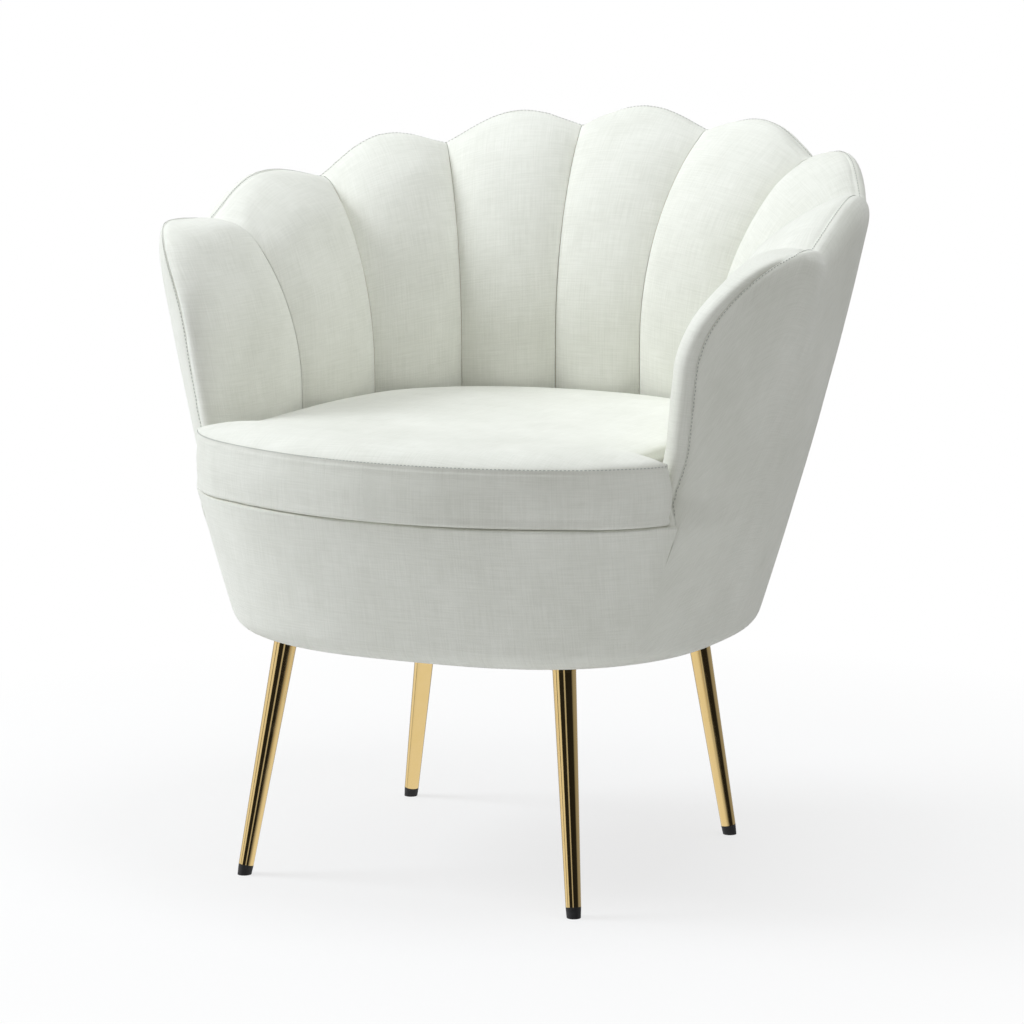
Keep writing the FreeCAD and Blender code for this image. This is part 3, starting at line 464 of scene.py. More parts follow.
def grid_normals(grid):
    """Unit normals of a grid of points, along rows crossed with up columns."""
    du = np.gradient(grid, axis=1)
    dv = np.gradient(grid, axis=0)
    normal = np.cross(du, dv)
    size = np.linalg.norm(normal, axis=2, keepdims=True)
    return normal / np.maximum(size, 1e-12)


def even_normals(grid, times=6):
    """Unit normals evened out over their neighbours."""
    normal = grid_normals(grid)
    for turn in range(times):
        wide = np.pad(normal, ((1, 1), (1, 1), (0, 0)), mode="edge")
        normal = (wide[:-2, 1:-1] + wide[2:, 1:-1] + wide[1:-1, :-2] + wide[1:-1, 2:]
                  + 2 * wide[1:-1, 1:-1])
        normal /= np.maximum(np.linalg.norm(normal, axis=2, keepdims=True), 1e-12)
    return normal


def closed_pad(name, front, back):
    """Closed piece between a front grid and a back grid of the same shape, faces outwards."""
    rows, columns = front.shape[:2]
    count = rows * columns
    vertices = np.concatenate([front.reshape(-1, 3), back.reshape(-1, 3)])
    faces = []
    for r in range(rows - 1):
        for c in range(columns - 1):
            a = r * columns + c
            quad = (a, a + 1, a + columns + 1, a + columns)
            faces.append(quad)
            faces.append(tuple(count + i for i in reversed(quad)))
    rim = ([(0, c) for c in range(columns - 1)]
           + [(r, columns - 1) for r in range(rows - 1)]
           + [(rows - 1, c) for c in range(columns - 1, 0, -1)]
           + [(r, 0) for r in range(rows - 1, 0, -1)])
    ring = [r * columns + c for r, c in rim]
    for first, last in zip(ring, ring[1:] + ring[:1]):
        faces.append((last, first, count + first, count + last))
    runs = cloth_runs(front).reshape(-1, 2)
    piece = make_piece(name, vertices, faces, np.concatenate([runs, runs]))
    edges = set(tuple(sorted(pair)) for pair in zip(ring, ring[1:] + ring[:1]))
    edges |= set((count + a, count + b) for a, b in edges)
    for edge in piece.data.edges:
        edge.use_edge_sharp = tuple(sorted(edge.vertices)) in edges
    return piece


def sum_volume(piece):
    """Signed volume, positive where the faces point outwards."""
    total = 0.0
    for face in piece.data.polygons:
        points = [piece.data.vertices[i].co for i in face.vertices]
        for k in range(1, len(points) - 1):
            total += points[0].dot(points[k].cross(points[k + 1]))
    return total


def line_tree(points):
    tree = KDTree(len(points))
    for number, point in enumerate(points):
        tree.insert(Vector(point), number)
    tree.balance()
    return tree


def dense(points, gap=0.001):
    """A run of points filled in to a small even gap."""
    points = np.asarray(points, float)
    steps = np.linalg.norm(np.diff(points, axis=0), axis=1)
    run = np.concatenate([[0], np.cumsum(steps)])
    count = max(int(run[-1] / gap), 2)
    where = np.linspace(0, run[-1], count)
    return np.stack([np.interp(where, run, points[:, k]) for k in range(3)], axis=1)


def facing(point):
    """Direction in which the cloth on both sides of a sewn edge faces."""
    s = sizes()
    x, y, z = point
    turn = math.atan2(x, y - s.centre_y)
    if abs(turn) < s.seam_4 - 0.02:
        return unit(outward(turn) * 0.35 + np.array([0, 0, 0.94]))
    top = smoothstep((z - 0.56) / 0.10)
    return unit(np.array([math.copysign(0.62, x), -0.66 + 0.56 * top, 0.80 * top]))


def sewn(grid, line, depth=0.0014, width=0.0040, pucker=0.0004, reach=0.016, seed=0.0):
    """Sinks a grid towards the cloth's inside along a sewn line, with small puckers beside it."""
    tree = line_tree(line)
    moved = grid.copy()
    for r in range(grid.shape[0]):
        for c in range(grid.shape[1]):
            place, number, distance = tree.find(Vector(grid[r, c]))
            if distance > reach:
                continue
            fade = math.exp(-(distance / width) ** 2)
            ripple = noise.noise(place * 95.0)
            ripple += 0.5 * noise.noise(place * 210.0 + Vector((seed, 3.7, 9.1)))
            side = math.exp(-distance / 0.007) * (1 - math.exp(-distance / 0.0015))
            moved[r, c] -= facing(place) * (depth * fade + pucker * 2.0 * ripple * side)
    return moved


def uneven(grid, amount=0.0010, scale=9.0, seed=0.0):
    """Very slight waviness of stuffed cloth, none at its sewn borders."""
    normal = grid_normals(grid)
    moved = grid.copy()
    rows, columns = grid.shape[:2]
    for r in range(rows):
        for c in range(columns):
            at = Vector(grid[r, c]) * scale + Vector((seed, seed * 1.7, 0))
            wave = noise.noise(at) + 0.35 * noise.noise(at * 3.1)
            border = smoothstep(min(r, c, rows - 1 - r, columns - 1 - c) / 6)
            moved[r, c] += normal[r, c] * amount * border * wave
    return moved


def ends_dense(x):
    """Spacing that is closer together at both ends."""
    return 0.5 - 0.5 * math.cos(math.pi * x)


def end_dense(x):
    """Spacing that is closer together at the far end."""
    return 0.45 * x + 0.55 * math.sin(math.pi / 2 * x)


def depth_direction(turn, lean):
    return outward(turn) * math.cos(lean) - np.array([0, 0, 1.0]) * math.sin(lean)


def unit(v):
    return v / max(np.linalg.norm(v), 1e-12)


def swell(share, rise):
    s = sizes()
    return s.bulge + (rise - s.bulge) * share


def plump(t):
    """Cross section of a channel between its seams."""
    x = abs(2 * t - 1)
    return (1 - x ** 2.3) ** 0.82 if x < 1 else 0.0


def channel_grid(index):
    """Front grid of a back channel, from under the cushion to the sewn crest line."""
    seams = seam_angles()
    left_turn, right_turn = seams[index], seams[index + 1]
    left = spline(seam_rows(left_turn), CHANNEL_ROWS, end_dense)
    right = spline(seam_rows(right_turn), CHANNEL_ROWS, end_dense)
    middle_turn = (left_turn + right_turn) / 2
    rise = scallop_rise(middle_turn)
    crest = scallop_middle(index)
    grid = np.zeros((CHANNEL_ROWS, CHANNEL_COLUMNS, 3))
    for r in range(CHANNEL_ROWS):
        a, b = left[r, :3], right[r, :3]
        lean = (left[r, 3] + right[r, 3]) / 2
        share = (left[r, 4] + right[r, 4]) / 2
        along = unit(b - a)
        depth = depth_direction(middle_turn, lean)
        depth = unit(depth - along * depth.dot(along))
        body = -depth * swell(share, rise)
        near_crest = smoothstep((share - 0.62) / 0.38)
        lift = body * (1 - near_crest) + (crest - (a + b) / 2) * near_crest
        for c in range(CHANNEL_COLUMNS):
            t = ends_dense(c / (CHANNEL_COLUMNS - 1))
            shape = plump(t) * (1 - near_crest) + scallop(t) * near_crest
            grid[r, c] = a * (1 - t) + b * t + lift * shape
    return grid


def thinning(count):
    """Share of the thickness along a row of points that ends at a sewn edge."""
    return np.array([1 - 0.94 * smoothstep((k - (count - 9)) / 8) for k in range(count)])


def backed(grid, edge_line=False, gap=0.00035):
    """Back grid of a pad, and the front with its side edges turned into the seams."""
    normal = even_normals(grid)
    rows, columns = grid.shape[:2]
    front = grid.copy()
    for edge, inner in ((0, 1), (-1, -2))[:1 if edge_line else 2]:
        sideways = grid[:, inner] - grid[:, edge]
        sideways /= np.maximum(np.linalg.norm(sideways, axis=1, keepdims=True), 1e-9)
        front[:, edge] += sideways * gap
    across = thinning(columns) if edge_line else np.ones(columns)
    thin = thinning(rows)[:, None] * across
    return front, front - normal * CHANNEL_DEPTH * thin[:, :, None]


def lined(grid):
    """Inner side of the outer velvet, thin at its sewn edge."""
    normal = even_normals(grid)
    row, column = grid.shape[0] // 2, grid.shape[1] // 2
    middle = np.array([0, sizes().centre_y, grid[row, 0, 2]])
    outwards = np.sum(normal[row, column] * (grid[row, column] - middle)) > 0
    thin = np.array([0.08 + 0.92 * smoothstep(r / 6) for r in range(grid.shape[0])])
    inwards = -1.0 if outwards else 1.0
    return grid + normal * inwards * COVER_DEPTH * thin[:, None, None]


def bezier(a, b, c, d, t):
    """Point on the curve from a to d that b and c pull."""
    u = 1 - t
    return a * u ** 3 + b * 3 * u * u * t + c * 3 * u * t * t + d * t ** 3


def arm_grid():
    """Front grid of the right arm's channel: inner face and rolled front up to its sewn edge."""
    s = sizes()
    rows = spline(seam_rows(s.seam_4), ARM_ROWS, end_dense)
    rise = s.arm_peak - s.valley_arm
    grid = np.zeros((len(rows), ARM_COLUMNS, 3))
    for r, row in enumerate(rows):
        start, lean, share = row[:3], row[3], row[4]
        near_crest = smoothstep((share - 0.84) / 0.16)
        raised = smoothstep((start[2] - 0.60) / (s.valley_arm - 0.60))
        edge = arm_front_edge(min(start[2] + (ARM_TOP_HEIGHT - s.valley_arm) * raised, ARM_TOP_HEIGHT))
        upright = math.cos(min(lean, math.pi / 2))
        size = 0.4 + 0.6 * upright
        inner = edge - np.array([s.arm_roll * size, 0, 0])
        along = unit(inner - start)
        depth = np.array([math.cos(lean), 0, -math.sin(lean)])
        depth = unit(depth - along * depth.dot(along))
        span = np.linalg.norm(inner - start)
        swelling = swell(share, rise)
        joint = start + along * (span - 0.046 * size)
        first_pull = joint + along * 0.040 * size
        last_pull = edge + np.array([-0.014, -0.019, 0.004]) * size
        for c in range(ARM_COLUMNS):
            if c < ARM_BULGE_COLUMNS:
                t = c / (ARM_BULGE_COLUMNS - 1)
                t = ends_dense(t) * 0.5 + t * 0.5
                place = start * (1 - t) + joint * t
                part = 0.62 * t
            else:
                t = (c - ARM_BULGE_COLUMNS + 1) / (ARM_COLUMNS - ARM_BULGE_COLUMNS)
                place = bezier(joint, first_pull, last_pull, edge, t)
                part = 0.62 + 0.38 * t
            shape = plump(part * 1.25) if part < 0.4 else 1 - smoothstep((part - 0.4) / 0.6)
            grid[r, c] = place - depth * swelling * shape
        if near_crest > 0:
            for c in range(ARM_COLUMNS):
                t = c / (ARM_COLUMNS - 1)
                grid[r, c] = grid[r, c] * (1 - near_crest) + arm_crest_line(t) * near_crest
    return grid


def arm_curve(edge_count, top_count):
    """Points of the right arm's sewn line, from its corner up and back to the fourth seam."""
    s = sizes()
    ends = math.acos((ARM_TOP_HEIGHT - s.arm_corner) / (s.arm_peak - s.arm_corner))
    edge = [arm_front_edge(s.arm_corner + (s.arm_peak - s.arm_corner) * math.sin(a))
            for a in np.linspace(0, math.pi / 2 - ends, edge_count)]
    top = [arm_crest_line(t) for t in np.linspace(1, 0, top_count)]
    return edge + top[1:]


def arm_edge_line():
    """The right arm's sewn line, from the apron up its front edge and back to the fourth seam."""
    front = [arm_front_edge(h) for h in np.linspace(PAD_BOTTOM, sizes().arm_corner, 40)]
    return dense(front + arm_curve(40, 30)[1:])


def crest_lines():
    """Sewn crest line of each back channel from left to right."""
    return [dense([crest_line(index, t) for t in np.linspace(0, 1, 60)])
            for index in range(BACK_CHANNELS)]


def outer_columns():
    """Top points of the outer cover from the left arm's corner to the right arm's corner."""
    side = arm_curve(34, 26)
    back = []
    for index in range(BACK_CHANNELS):
        for t in np.linspace(0, 1, 27)[:-1]:
            back.append(crest_line(index, ends_dense(t) * 0.5 + t * 0.5))
    return [flipped(p) for p in side] + back[1:] + list(reversed(side))


def outer_grid():
    """Front grid of the outer cover, from the sewn edge down to the hem under the drum."""
    s = sizes()
    columns = []
    for top in outer_columns():
        turn = math.atan2(top[0], top[1] - s.centre_y)
        radius = math.hypot(top[0], top[1] - s.centre_y)
        inset = max(outer_radius(turn, top[2]) - radius, 0.0)
        drop = 1.35 * inset + 0.004
        low = top[2] - drop
        p1 = spot(turn, radius + 0.62 * inset, top[2] + 0.02 * inset)
        p2 = spot(turn, outer_radius(turn, low + 0.62 * drop), low + 0.62 * drop)
        p3 = spot(turn, outer_radius(turn, low), low)
        column = []
        for step in range(14):
            column.append(bezier(top, p1, p2, p3, step / 14))
        for step in range(60):
            t = step / 59
            t = 0.55 * t + 0.45 * t ** 2
            height = low + (bottom_start(turn, False)[1] - low) * t
            leant = leaning(turn, height)
            column.append(spot(leant, outer_radius(leant, height), height))
        column += bottom_turn(leaning(turn, s.shoulder), False)
        columns.append(column)
    grid = np.array(columns).transpose(1, 0, 2)
    return welted(grid)


def leaning(turn, height):
    """Plan angle of a column of the outer velvet, which leans forward near the arm's front edge."""
    s = sizes()
    share = smoothstep((abs(turn) - math.radians(88)) / (s.arm_angle - math.radians(88)))
    return math.copysign(abs(turn) + (edge_turn(height) - s.arm_angle) * share, turn)


def welted(grid):
    """The outer velvet stands out softly beside the arms' sewn edges."""
    s = sizes()
    line = arm_edge_line()
    tree = line_tree(np.concatenate([line, flipped(line)]))
    moved = grid.copy()
    for r in range(grid.shape[0]):
        for c in range(grid.shape[1]):
            x, y, z = grid[r, c]
            distance = tree.find(Vector(grid[r, c]))[2]
            if distance > WELT_WIDTH + WELT_FADE or z < 0.34:
                continue
            near = min(distance / WELT_WIDTH, 1.0)
            stand = s.arm_welt * (1 - (1 - near) ** 2)
            stand *= 1 - smoothstep((distance - WELT_WIDTH) / WELT_FADE)
            stand *= smoothstep((z - 0.36) / 0.09) * smoothstep((s.centre_y + 0.02 - y) / 0.06)
            over = smoothstep((z - 0.61) / 0.06)
            moved[r, c] += np.array([math.copysign(0.96, x), -0.05, 0.12 + 0.13 * over]) * stand
    return moved


def bottom_start(turn, apron):
    """Lean of the side above the rounded bottom edge, and the height where the rounding starts."""
    s = sizes()
    spread = outer_radius(turn, s.shoulder + 0.02, apron) - outer_radius(turn, s.shoulder, apron)
    lean = math.atan2(spread, 0.02)
    return lean, s.underside + s.bottom_radius * (1 - math.sin(lean))


def bottom_turn(turn, apron):
    """Rounded bottom edge and hem."""
    s = sizes()
    lean, start = bottom_start(turn, apron)
    middle = outer_radius(turn, start, apron) - s.bottom_radius * math.cos(lean)
    lift = s.underside + s.bottom_radius
    made = []
    for step in range(1, 11):
        a = lean + (math.pi / 2 - lean) * step / 10
        radius = middle + s.bottom_radius * math.cos(a)
        made.append(spot(turn, radius, lift - s.bottom_radius * math.sin(a)))
    for hem in (0.004, 0.008):
        made.append(spot(turn, middle - hem, s.underside))
    return made


def apron_grid():
    """Front grid of the apron, with its top edge turned in over the deck."""
    s = sizes()
    columns = []
    for share in np.linspace(-1, 1, 97):
        column = []
        top = s.deck - 0.0005
        bead = 0.0016 * smoothstep((1 - abs(share)) / 0.06)
        turn = math.pi + share * (math.pi - edge_turn(top))
        for inwards, down in ((0.018, 0.0), (0.009, 0.0), (0.005, 0.0003), (0.0025, 0.0012)):
            height = top - down + bead * (0.5 + 28 * down)
            column.append(spot(turn, outer_radius(turn, top, True) - inwards, height))
        high = top - 0.003 + bead
        for step in range(46):
            height = high + (bottom_start(turn, True)[1] - high) * (step / 45) ** 1.15
            turn = math.pi + share * (math.pi - edge_turn(height))
            column.append(spot(turn, outer_radius(turn, height, True), height))
        column += bottom_turn(turn, True)
        columns.append(column)
    return np.array(columns).transpose(1, 0, 2)


# Cushion

def cushion_loop(height, inset, across=1.0, ahead=1.0, behind=1.0):
    """Outline of the cushion at a height, drawn in towards the line behind its ears."""
    s = sizes()
    half = s.cushion_half - inset
    back = s.cushion_back - inset
    ear = s.ear_half - inset
    ear_back = -(s.ear_reach + inset)
    front = -(s.cushion_front - inset)
    corner = np.array([0.205 - 0.6 * inset, -(0.238 - 0.8 * inset)])
    edge = np.array([ear, ear_back - EAR_ROUND])
    bow = edge - corner
    elbow = (corner + edge) / 2 + unit(np.array([-bow[1], bow[0]])) * -0.009
    tip = np.array([ear - EAR_ROUND, ear_back])
    notch = np.array([half + NOTCH_ROUND, ear_back])
    inner = np.array([half, ear_back + NOTCH_ROUND])
    half_loop = arc_through(flip2(corner), np.array([0.0, front]), corner, 60)[30:]
    half_loop += arc_through(corner, elbow, edge, 22)[1:]
    half_loop += arc_through(edge, np.array([ear, ear_back]) - EAR_CUT, tip, 9)[1:]
    half_loop += straight(tip, notch, 9)
    half_loop += arc_through(notch, np.array([half, ear_back]) + NOTCH_CUT, inner, 6)[1:]
    half_loop += straight(inner, np.array([half, 0.0]), 22)
    for a in np.linspace(90, 0, 46)[1:]:
        turn = math.radians(a)
        radius = oval(turn, half, back, SQUARE_SEAT)
        half_loop.append(np.array([radius * math.sin(turn), radius * math.cos(turn)]))
    whole = half_loop + [flip2(p) for p in reversed(half_loop[1:-1])]
    made = []
    for p in whole:
        run = (p[1] - ear_back) * (ahead if p[1] < ear_back else behind)
        high = height
        if s.cushion_seam < height < s.cushion_crown:
            full = smoothstep((p[1] - ear_back + 0.08) / 0.10)
            full *= 1 - smoothstep((abs(p[0]) - 0.19) / 0.085)
            high = height + full * 0.55 * (s.cushion_crown - height)
        made.append([p[0] * across, s.centre_y + ear_back + run, high])
    return np.array(made)


def flip2(p):
    return np.array([-p[0], p[1]])


def straight(a, b, count):
    """Points from a to b, without a."""
    return [a * (1 - t) + b * t for t in np.linspace(0, 1, count)][1:]


def arc_through(a, b, c, count):
    """Points on the circle through three plan points."""
    ax, ay, bx, by, cx, cy = *a, *b, *c
    d = 2 * (ax * (by - cy) + bx * (cy - ay) + cx * (ay - by))
    aa, bb, cc = a.dot(a), b.dot(b), c.dot(c)
    o = np.array([aa * (by - cy) + bb * (cy - ay) + cc * (ay - by),
                  aa * (cx - bx) + bb * (ax - cx) + cc * (bx - ax)]) / d
    radius = np.linalg.norm(a - o)
    first, middle, last = (math.atan2(*(p - o)[::-1]) for p in (a, b, c))
    sweep = (last - first) % (2 * math.pi)
    if (middle - first) % (2 * math.pi) > sweep:
        sweep -= 2 * math.pi
    return [o + radius * np.array([math.cos(first + sweep * t), math.sin(first + sweep * t)])
            for t in np.linspace(0, 1, count)]


def cushion_levels():
    """Height, inset and drawing in of each loop, from the underside over the side to the crown."""
    s = sizes()
    base, seam = s.cushion_base, s.cushion_seam
    levels = [(base, 0.006, k, k, k) for k in (0.02, 0.25, 0.5, 0.75, 0.9, 0.97)]
    levels += [(base + up, inset) for up, inset in ((0.0003, 0.0024), (0.0014, 0.0009), (0.004, 0.0002))]
    low, high = base + 0.008, seam - 0.006
    for t in np.linspace(0, 1, 12):
        levels.append((low + (high - low) * t, BAND_INSET * (1 - 2 * math.sin(math.pi * t))))
    levels += [(seam + up, inset) for up, inset in (
        (-0.0035, 0.0007), (-0.0018, 0.0012), (0.0, 0.0024),
        (0.0016, 0.0020), (0.0034, 0.0027), (0.0056, 0.0050))]
    rise = s.cushion_crown - seam
    for d in (0.0095, 0.014, 0.020, 0.028, 0.038, 0.052, 0.07, 0.09, 0.115, 0.145, 0.18, 0.21, 0.2365):
        far = d / 0.24
        lift = 1 - (1 - min(d / 0.105, 1.0)) ** 3.3
        height = seam + 0.0056 + (rise - 0.0056) * lift
        levels.append((height, 0.0055, 1 - far * 0.99, 1 - far * 0.96, 1 - far * 0.97))
    return levels


def cushion_mesh():
    """Vertices, faces and cloth map of the cushion, with slight ripples along its band."""
    loops = [cushion_loop(*level) for level in cushion_levels()]
    count = len(loops[0])
    first, last = CUSHION_SIDE
    around = np.concatenate([[0], np.cumsum(np.linalg.norm(np.diff(loops[first], axis=0), axis=1))])
    for k in range(first, last - 1):
        away = loops[k] - np.roll(loops[k], 1, axis=0)
        away = np.stack([away[:, 1], -away[:, 0], np.zeros(count)], axis=1)
        away /= np.maximum(np.linalg.norm(away, axis=1, keepdims=True), 1e-9)
        middle = math.sin(math.pi * (k - first) / (last - 1 - first))
        for c, p in enumerate(loops[k]):
            left = 0.35 + 0.65 * (1 - smoothstep((p[0] + 0.20) / 0.15))
            ripple = noise.noise(Vector((around[c] * 75, p[2] * 9, 2.5)))
            loops[k][c] += away[c] * 0.0009 * left * middle * ripple
    runs = []
    for k, loop in enumerate(loops):
        for c, p in enumerate(loop):
            runs.append((around[c], p[2]) if first <= k <= last else (p[0], p[1]))
    return np.concatenate(loops), lofted(loops), runs


def deck_mesh():
    """Vertices and faces of the deck cloth: an oval behind, the drum's own outline in front."""
    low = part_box("deck_pad")[0].z
    top = sizes().deck - 0.0012
    loops = []
    for k, height, inset in ((0.02, low, 0.004), (0.9, low, 0.004), (1.0, low + 0.001, 0.002),
                             (1.0, top - 0.004, 0.0), (1.0, top - 0.001, 0.0012),
                             (0.985, top - 0.0002, 0.002), (0.93, top, 0.002),
                             (0.8, top + 0.0004, 0.002),
                             (0.5, top + 0.0008, 0.002), (0.02, top + 0.001, 0.002)):
        loop = []
        for turn in np.linspace(0, 2 * math.pi, 180, endpoint=False):
            inside = oval(turn, DECK_HALF, DECK_HALF, SQUARE_SEAT)
            if math.cos(turn) < 0:
                wide = outer_radius(turn, low, True) - 0.0135
                blend = smoothstep((-math.cos(turn) * wide - 0.110) / 0.03)
                inside = inside * (1 - blend) + wide * blend
            loop.append(spot(turn, (inside - inset) * k, height))
        loops.append(loop)
    return np.concatenate(loops), lofted(loops)


# Materials

EVEN = (1.0, 1.0, 1.0)
WHITE = (1.0, 1.0, 1.0, 1.0)


def plug(tree, socket, value):
    """Links an output to an input socket, or sets the socket's value."""
    if hasattr(value, "is_output"):
        tree.links.new(value, socket)
    else:
        socket.default_value = value


def add(tree, kind, values=(), **settings):
    """A node with its settings and with values or links for its inputs."""
    node = tree.nodes.new(kind)
    for key, value in settings.items():
        setattr(node, key, value)
    for key, value in dict(values).items():
        plug(tree, node.inputs[key], value)
    return node


def new_material(name, **values):
    """A material, its tree, its shader with the given values, and the object coordinates."""
    material = bpy.data.materials.new(name)
    material.use_nodes = True
    tree = material.node_tree
    shader = tree.nodes["Principled BSDF"]
    for key, value in values.items():
        plug(tree, shader.inputs[key.replace("_", " ")], value)
    return material, tree, shader, add(tree, "ShaderNodeTexCoord").outputs["Object"]


def scaled_noise(tree, vector, scale, noise_scale, detail=2.0, roughness=0.5):
    """Noise read through a mapping that stretches it."""
    mapping = add(tree, "ShaderNodeMapping", {"Vector": vector, "Scale": scale})
    texture = add(tree, "ShaderNodeTexNoise", {
        "Vector": mapping.outputs["Vector"], "Scale": noise_scale,
        "Detail": detail, "Roughness": roughness})
    return texture.outputs["Fac"]


def mixed(tree, factor, first, last):
    mix = add(tree, "ShaderNodeMix", {"Factor": factor, 6: first, 7: last}, data_type="RGBA")
    return mix.outputs[2]


def maths(tree, operation, first, last):
    return add(tree, "ShaderNodeMath", {0: first, 1: last}, operation=operation).outputs[0]


def weighed(tree, first, first_share, last, last_share):
    """Sum of two values, each with its own share."""
    return maths(tree, "ADD", maths(tree, "MULTIPLY", first, first_share),
                 maths(tree, "MULTIPLY", last, last_share))


def ranged(tree, value, low, high, to_low=0.0, to_high=1.0):
    return add(tree, "ShaderNodeMapRange", {"Value": value, "From Min": low, "From Max": high,
                                            "To Min": to_low, "To Max": to_high}).outputs["Result"]


def bumped(tree, shader, height, strength, distance):
    bump = add(tree, "ShaderNodeBump", {"Height": height, "Strength": strength, "Distance": distance})
    plug(tree, shader.inputs["Normal"], bump.outputs["Normal"])


def coloured(tree, shader, factor, colour, other):
    plug(tree, shader.inputs["Base Color"], mixed(tree, factor, colour, other))


def tinted(colour, factors):
    """A colour multiplied by one factor, or by one for each channel."""
    return (*np.minimum(np.array(colour[:3]) * factors, 1.0), 1.0)


def velvet_material():
    """Ivory velvet: short pile over a slubby weave, laid slightly differently from place to place."""
    look = finish()
    material, tree, shader, place = new_material(
        "ivory_velvet", Roughness=0.88, Specular_IOR_Level=0.28, Sheen_Weight=0.32,
        Sheen_Roughness=0.42, Sheen_Tint=(1.0, 0.99, 0.96, 1.0))
    cloth = add(tree, "ShaderNodeUVMap", uv_map="cloth").outputs["UV"]
    weft = scaled_noise(tree, cloth, (26.0, 620.0, 1.0), 1.0, 3.0, 0.55)
    warp = scaled_noise(tree, cloth, (620.0, 22.0, 1.0), 1.0, 3.0, 0.55)
    fuzz = scaled_noise(tree, place, EVEN, 1500.0, 2.0, 0.6)
    laid = scaled_noise(tree, place, (1.0, 1.0, 0.7), 11.0, 5.0, 0.68)
    cross = maths(tree, "MULTIPLY", maths(tree, "ADD", weft, warp), 0.5)
    tone = maths(tree, "ADD", ranged(tree, laid, 0.33, 0.67, 0.0, 0.5),
                 ranged(tree, cross, 0.36, 0.64, 0.0, 0.5))
    coloured(tree, shader, tone, look.velvet, look.velvet_shade)
    bumped(tree, shader, weighed(tree, cross, 0.75, fuzz, 0.35), 0.55, 0.0011)
    return material


def grained_material(name, colour, shade, grain, rough, bump):
    """One colour that a fine grain takes towards its own shade."""
    material, tree, shader, place = new_material(name, Roughness=rough)
    texture = scaled_noise(tree, place, EVEN, *grain)
    coloured(tree, shader, texture, colour, tinted(colour, shade))
    bumped(tree, shader, texture, *bump)
    return material


def thread_material():
    return grained_material("sewing_thread", finish().thread, 0.75, (2600.0, 2.0), 0.7, (0.3, 0.0002))


def clip_material():
    return grained_material("clip_plastic", finish().clip, 0.9, (700.0, 3.0), 0.5, (0.15, 0.0003))


def gold_material():
    """Polished gold plating with faint draw lines and light handling marks."""
    material, tree, shader, place = new_material("polished_gold", Metallic=1.0)
    drawn = scaled_noise(tree, place, (900.0, 900.0, 14.0), 1.0, 2.0)
    marks = scaled_noise(tree, place, EVEN, 55.0, 5.0, 0.65)
    gold = finish().gold
    coloured(tree, shader, marks, gold, tinted(gold, (1.06, 1.08, 1.3)))
    rough = maths(tree, "ADD", ranged(tree, marks, 0.45, 0.75, 0.055, 0.12),
                  maths(tree, "MULTIPLY", drawn, 0.03))
    plug(tree, shader.inputs["Roughness"], rough)
    bumped(tree, shader, drawn, 0.05, 0.0002)
    return material


def rubber_material():
    material, tree, shader, place = new_material("foot_cap_rubber", Roughness=0.55)
    grain = scaled_noise(tree, place, EVEN, 900.0, 4.0, 0.6)
    dust = ranged(tree, scaled_noise(tree, place, EVEN, 120.0, 4.0, 0.6), 0.5, 0.8)
    rubber = finish().rubber
    coloured(tree, shader, dust, rubber, tinted(rubber, 2.6))
    bumped(tree, shader, grain, 0.25, 0.0004)
    return material


def wood_material(name, stretch):
    look = finish()
    material, tree, shader, place = new_material(name, Roughness=0.72)
    grain = scaled_noise(tree, place, stretch, 6.0, 6.0, 0.65)
    fine = scaled_noise(tree, place, tuple(7 * c for c in stretch), 10.0, 3.0, 0.6)
    tone = weighed(tree, grain, 0.7, fine, 0.3)
    coloured(tree, shader, ranged(tree, tone, 0.35, 0.65), look.ply_light, look.ply_dark)
    bumped(tree, shader, tone, 0.25, 0.0008)
    return material


def steel_material():
    material, tree, shader, place = new_material("zinc_steel", Metallic=1.0)
    marks = scaled_noise(tree, place, EVEN, 240.0, 4.0, 0.6)
    steel = finish().steel
    coloured(tree, shader, marks, steel, tinted(steel, 0.72))
    plug(tree, shader.inputs["Roughness"], ranged(tree, marks, 0.3, 0.7, 0.24, 0.38))
    bumped(tree, shader, marks, 0.1, 0.0003)
    return material


def lining_material():
    """Thin non-woven cloth with pressed dots."""
    material, tree, shader, place = new_material("lining_cloth", Roughness=0.9, Sheen_Weight=0.15)
    cells = add(tree, "ShaderNodeTexVoronoi", {"Vector": place, "Scale": 520.0, "Randomness": 0.35})
    fibres = scaled_noise(tree, place, EVEN, 300.0, 5.0, 0.7)
    cloth = finish().cloth
    coloured(tree, shader, fibres, cloth, tinted(cloth, 2.2))
    bumped(tree, shader, weighed(tree, cells.outputs["Distance"], 0.6, fibres, 0.4), 0.35, 0.0005)
    return material


def shared(name, maker, *values):
    """The material of that name, from the frame or made on its first use."""
    return bpy.data.materials.get(name) or maker(*values)


def dress(piece, material):
    piece.data.materials.clear()
    piece.data.materials.append(material)


# Stitches

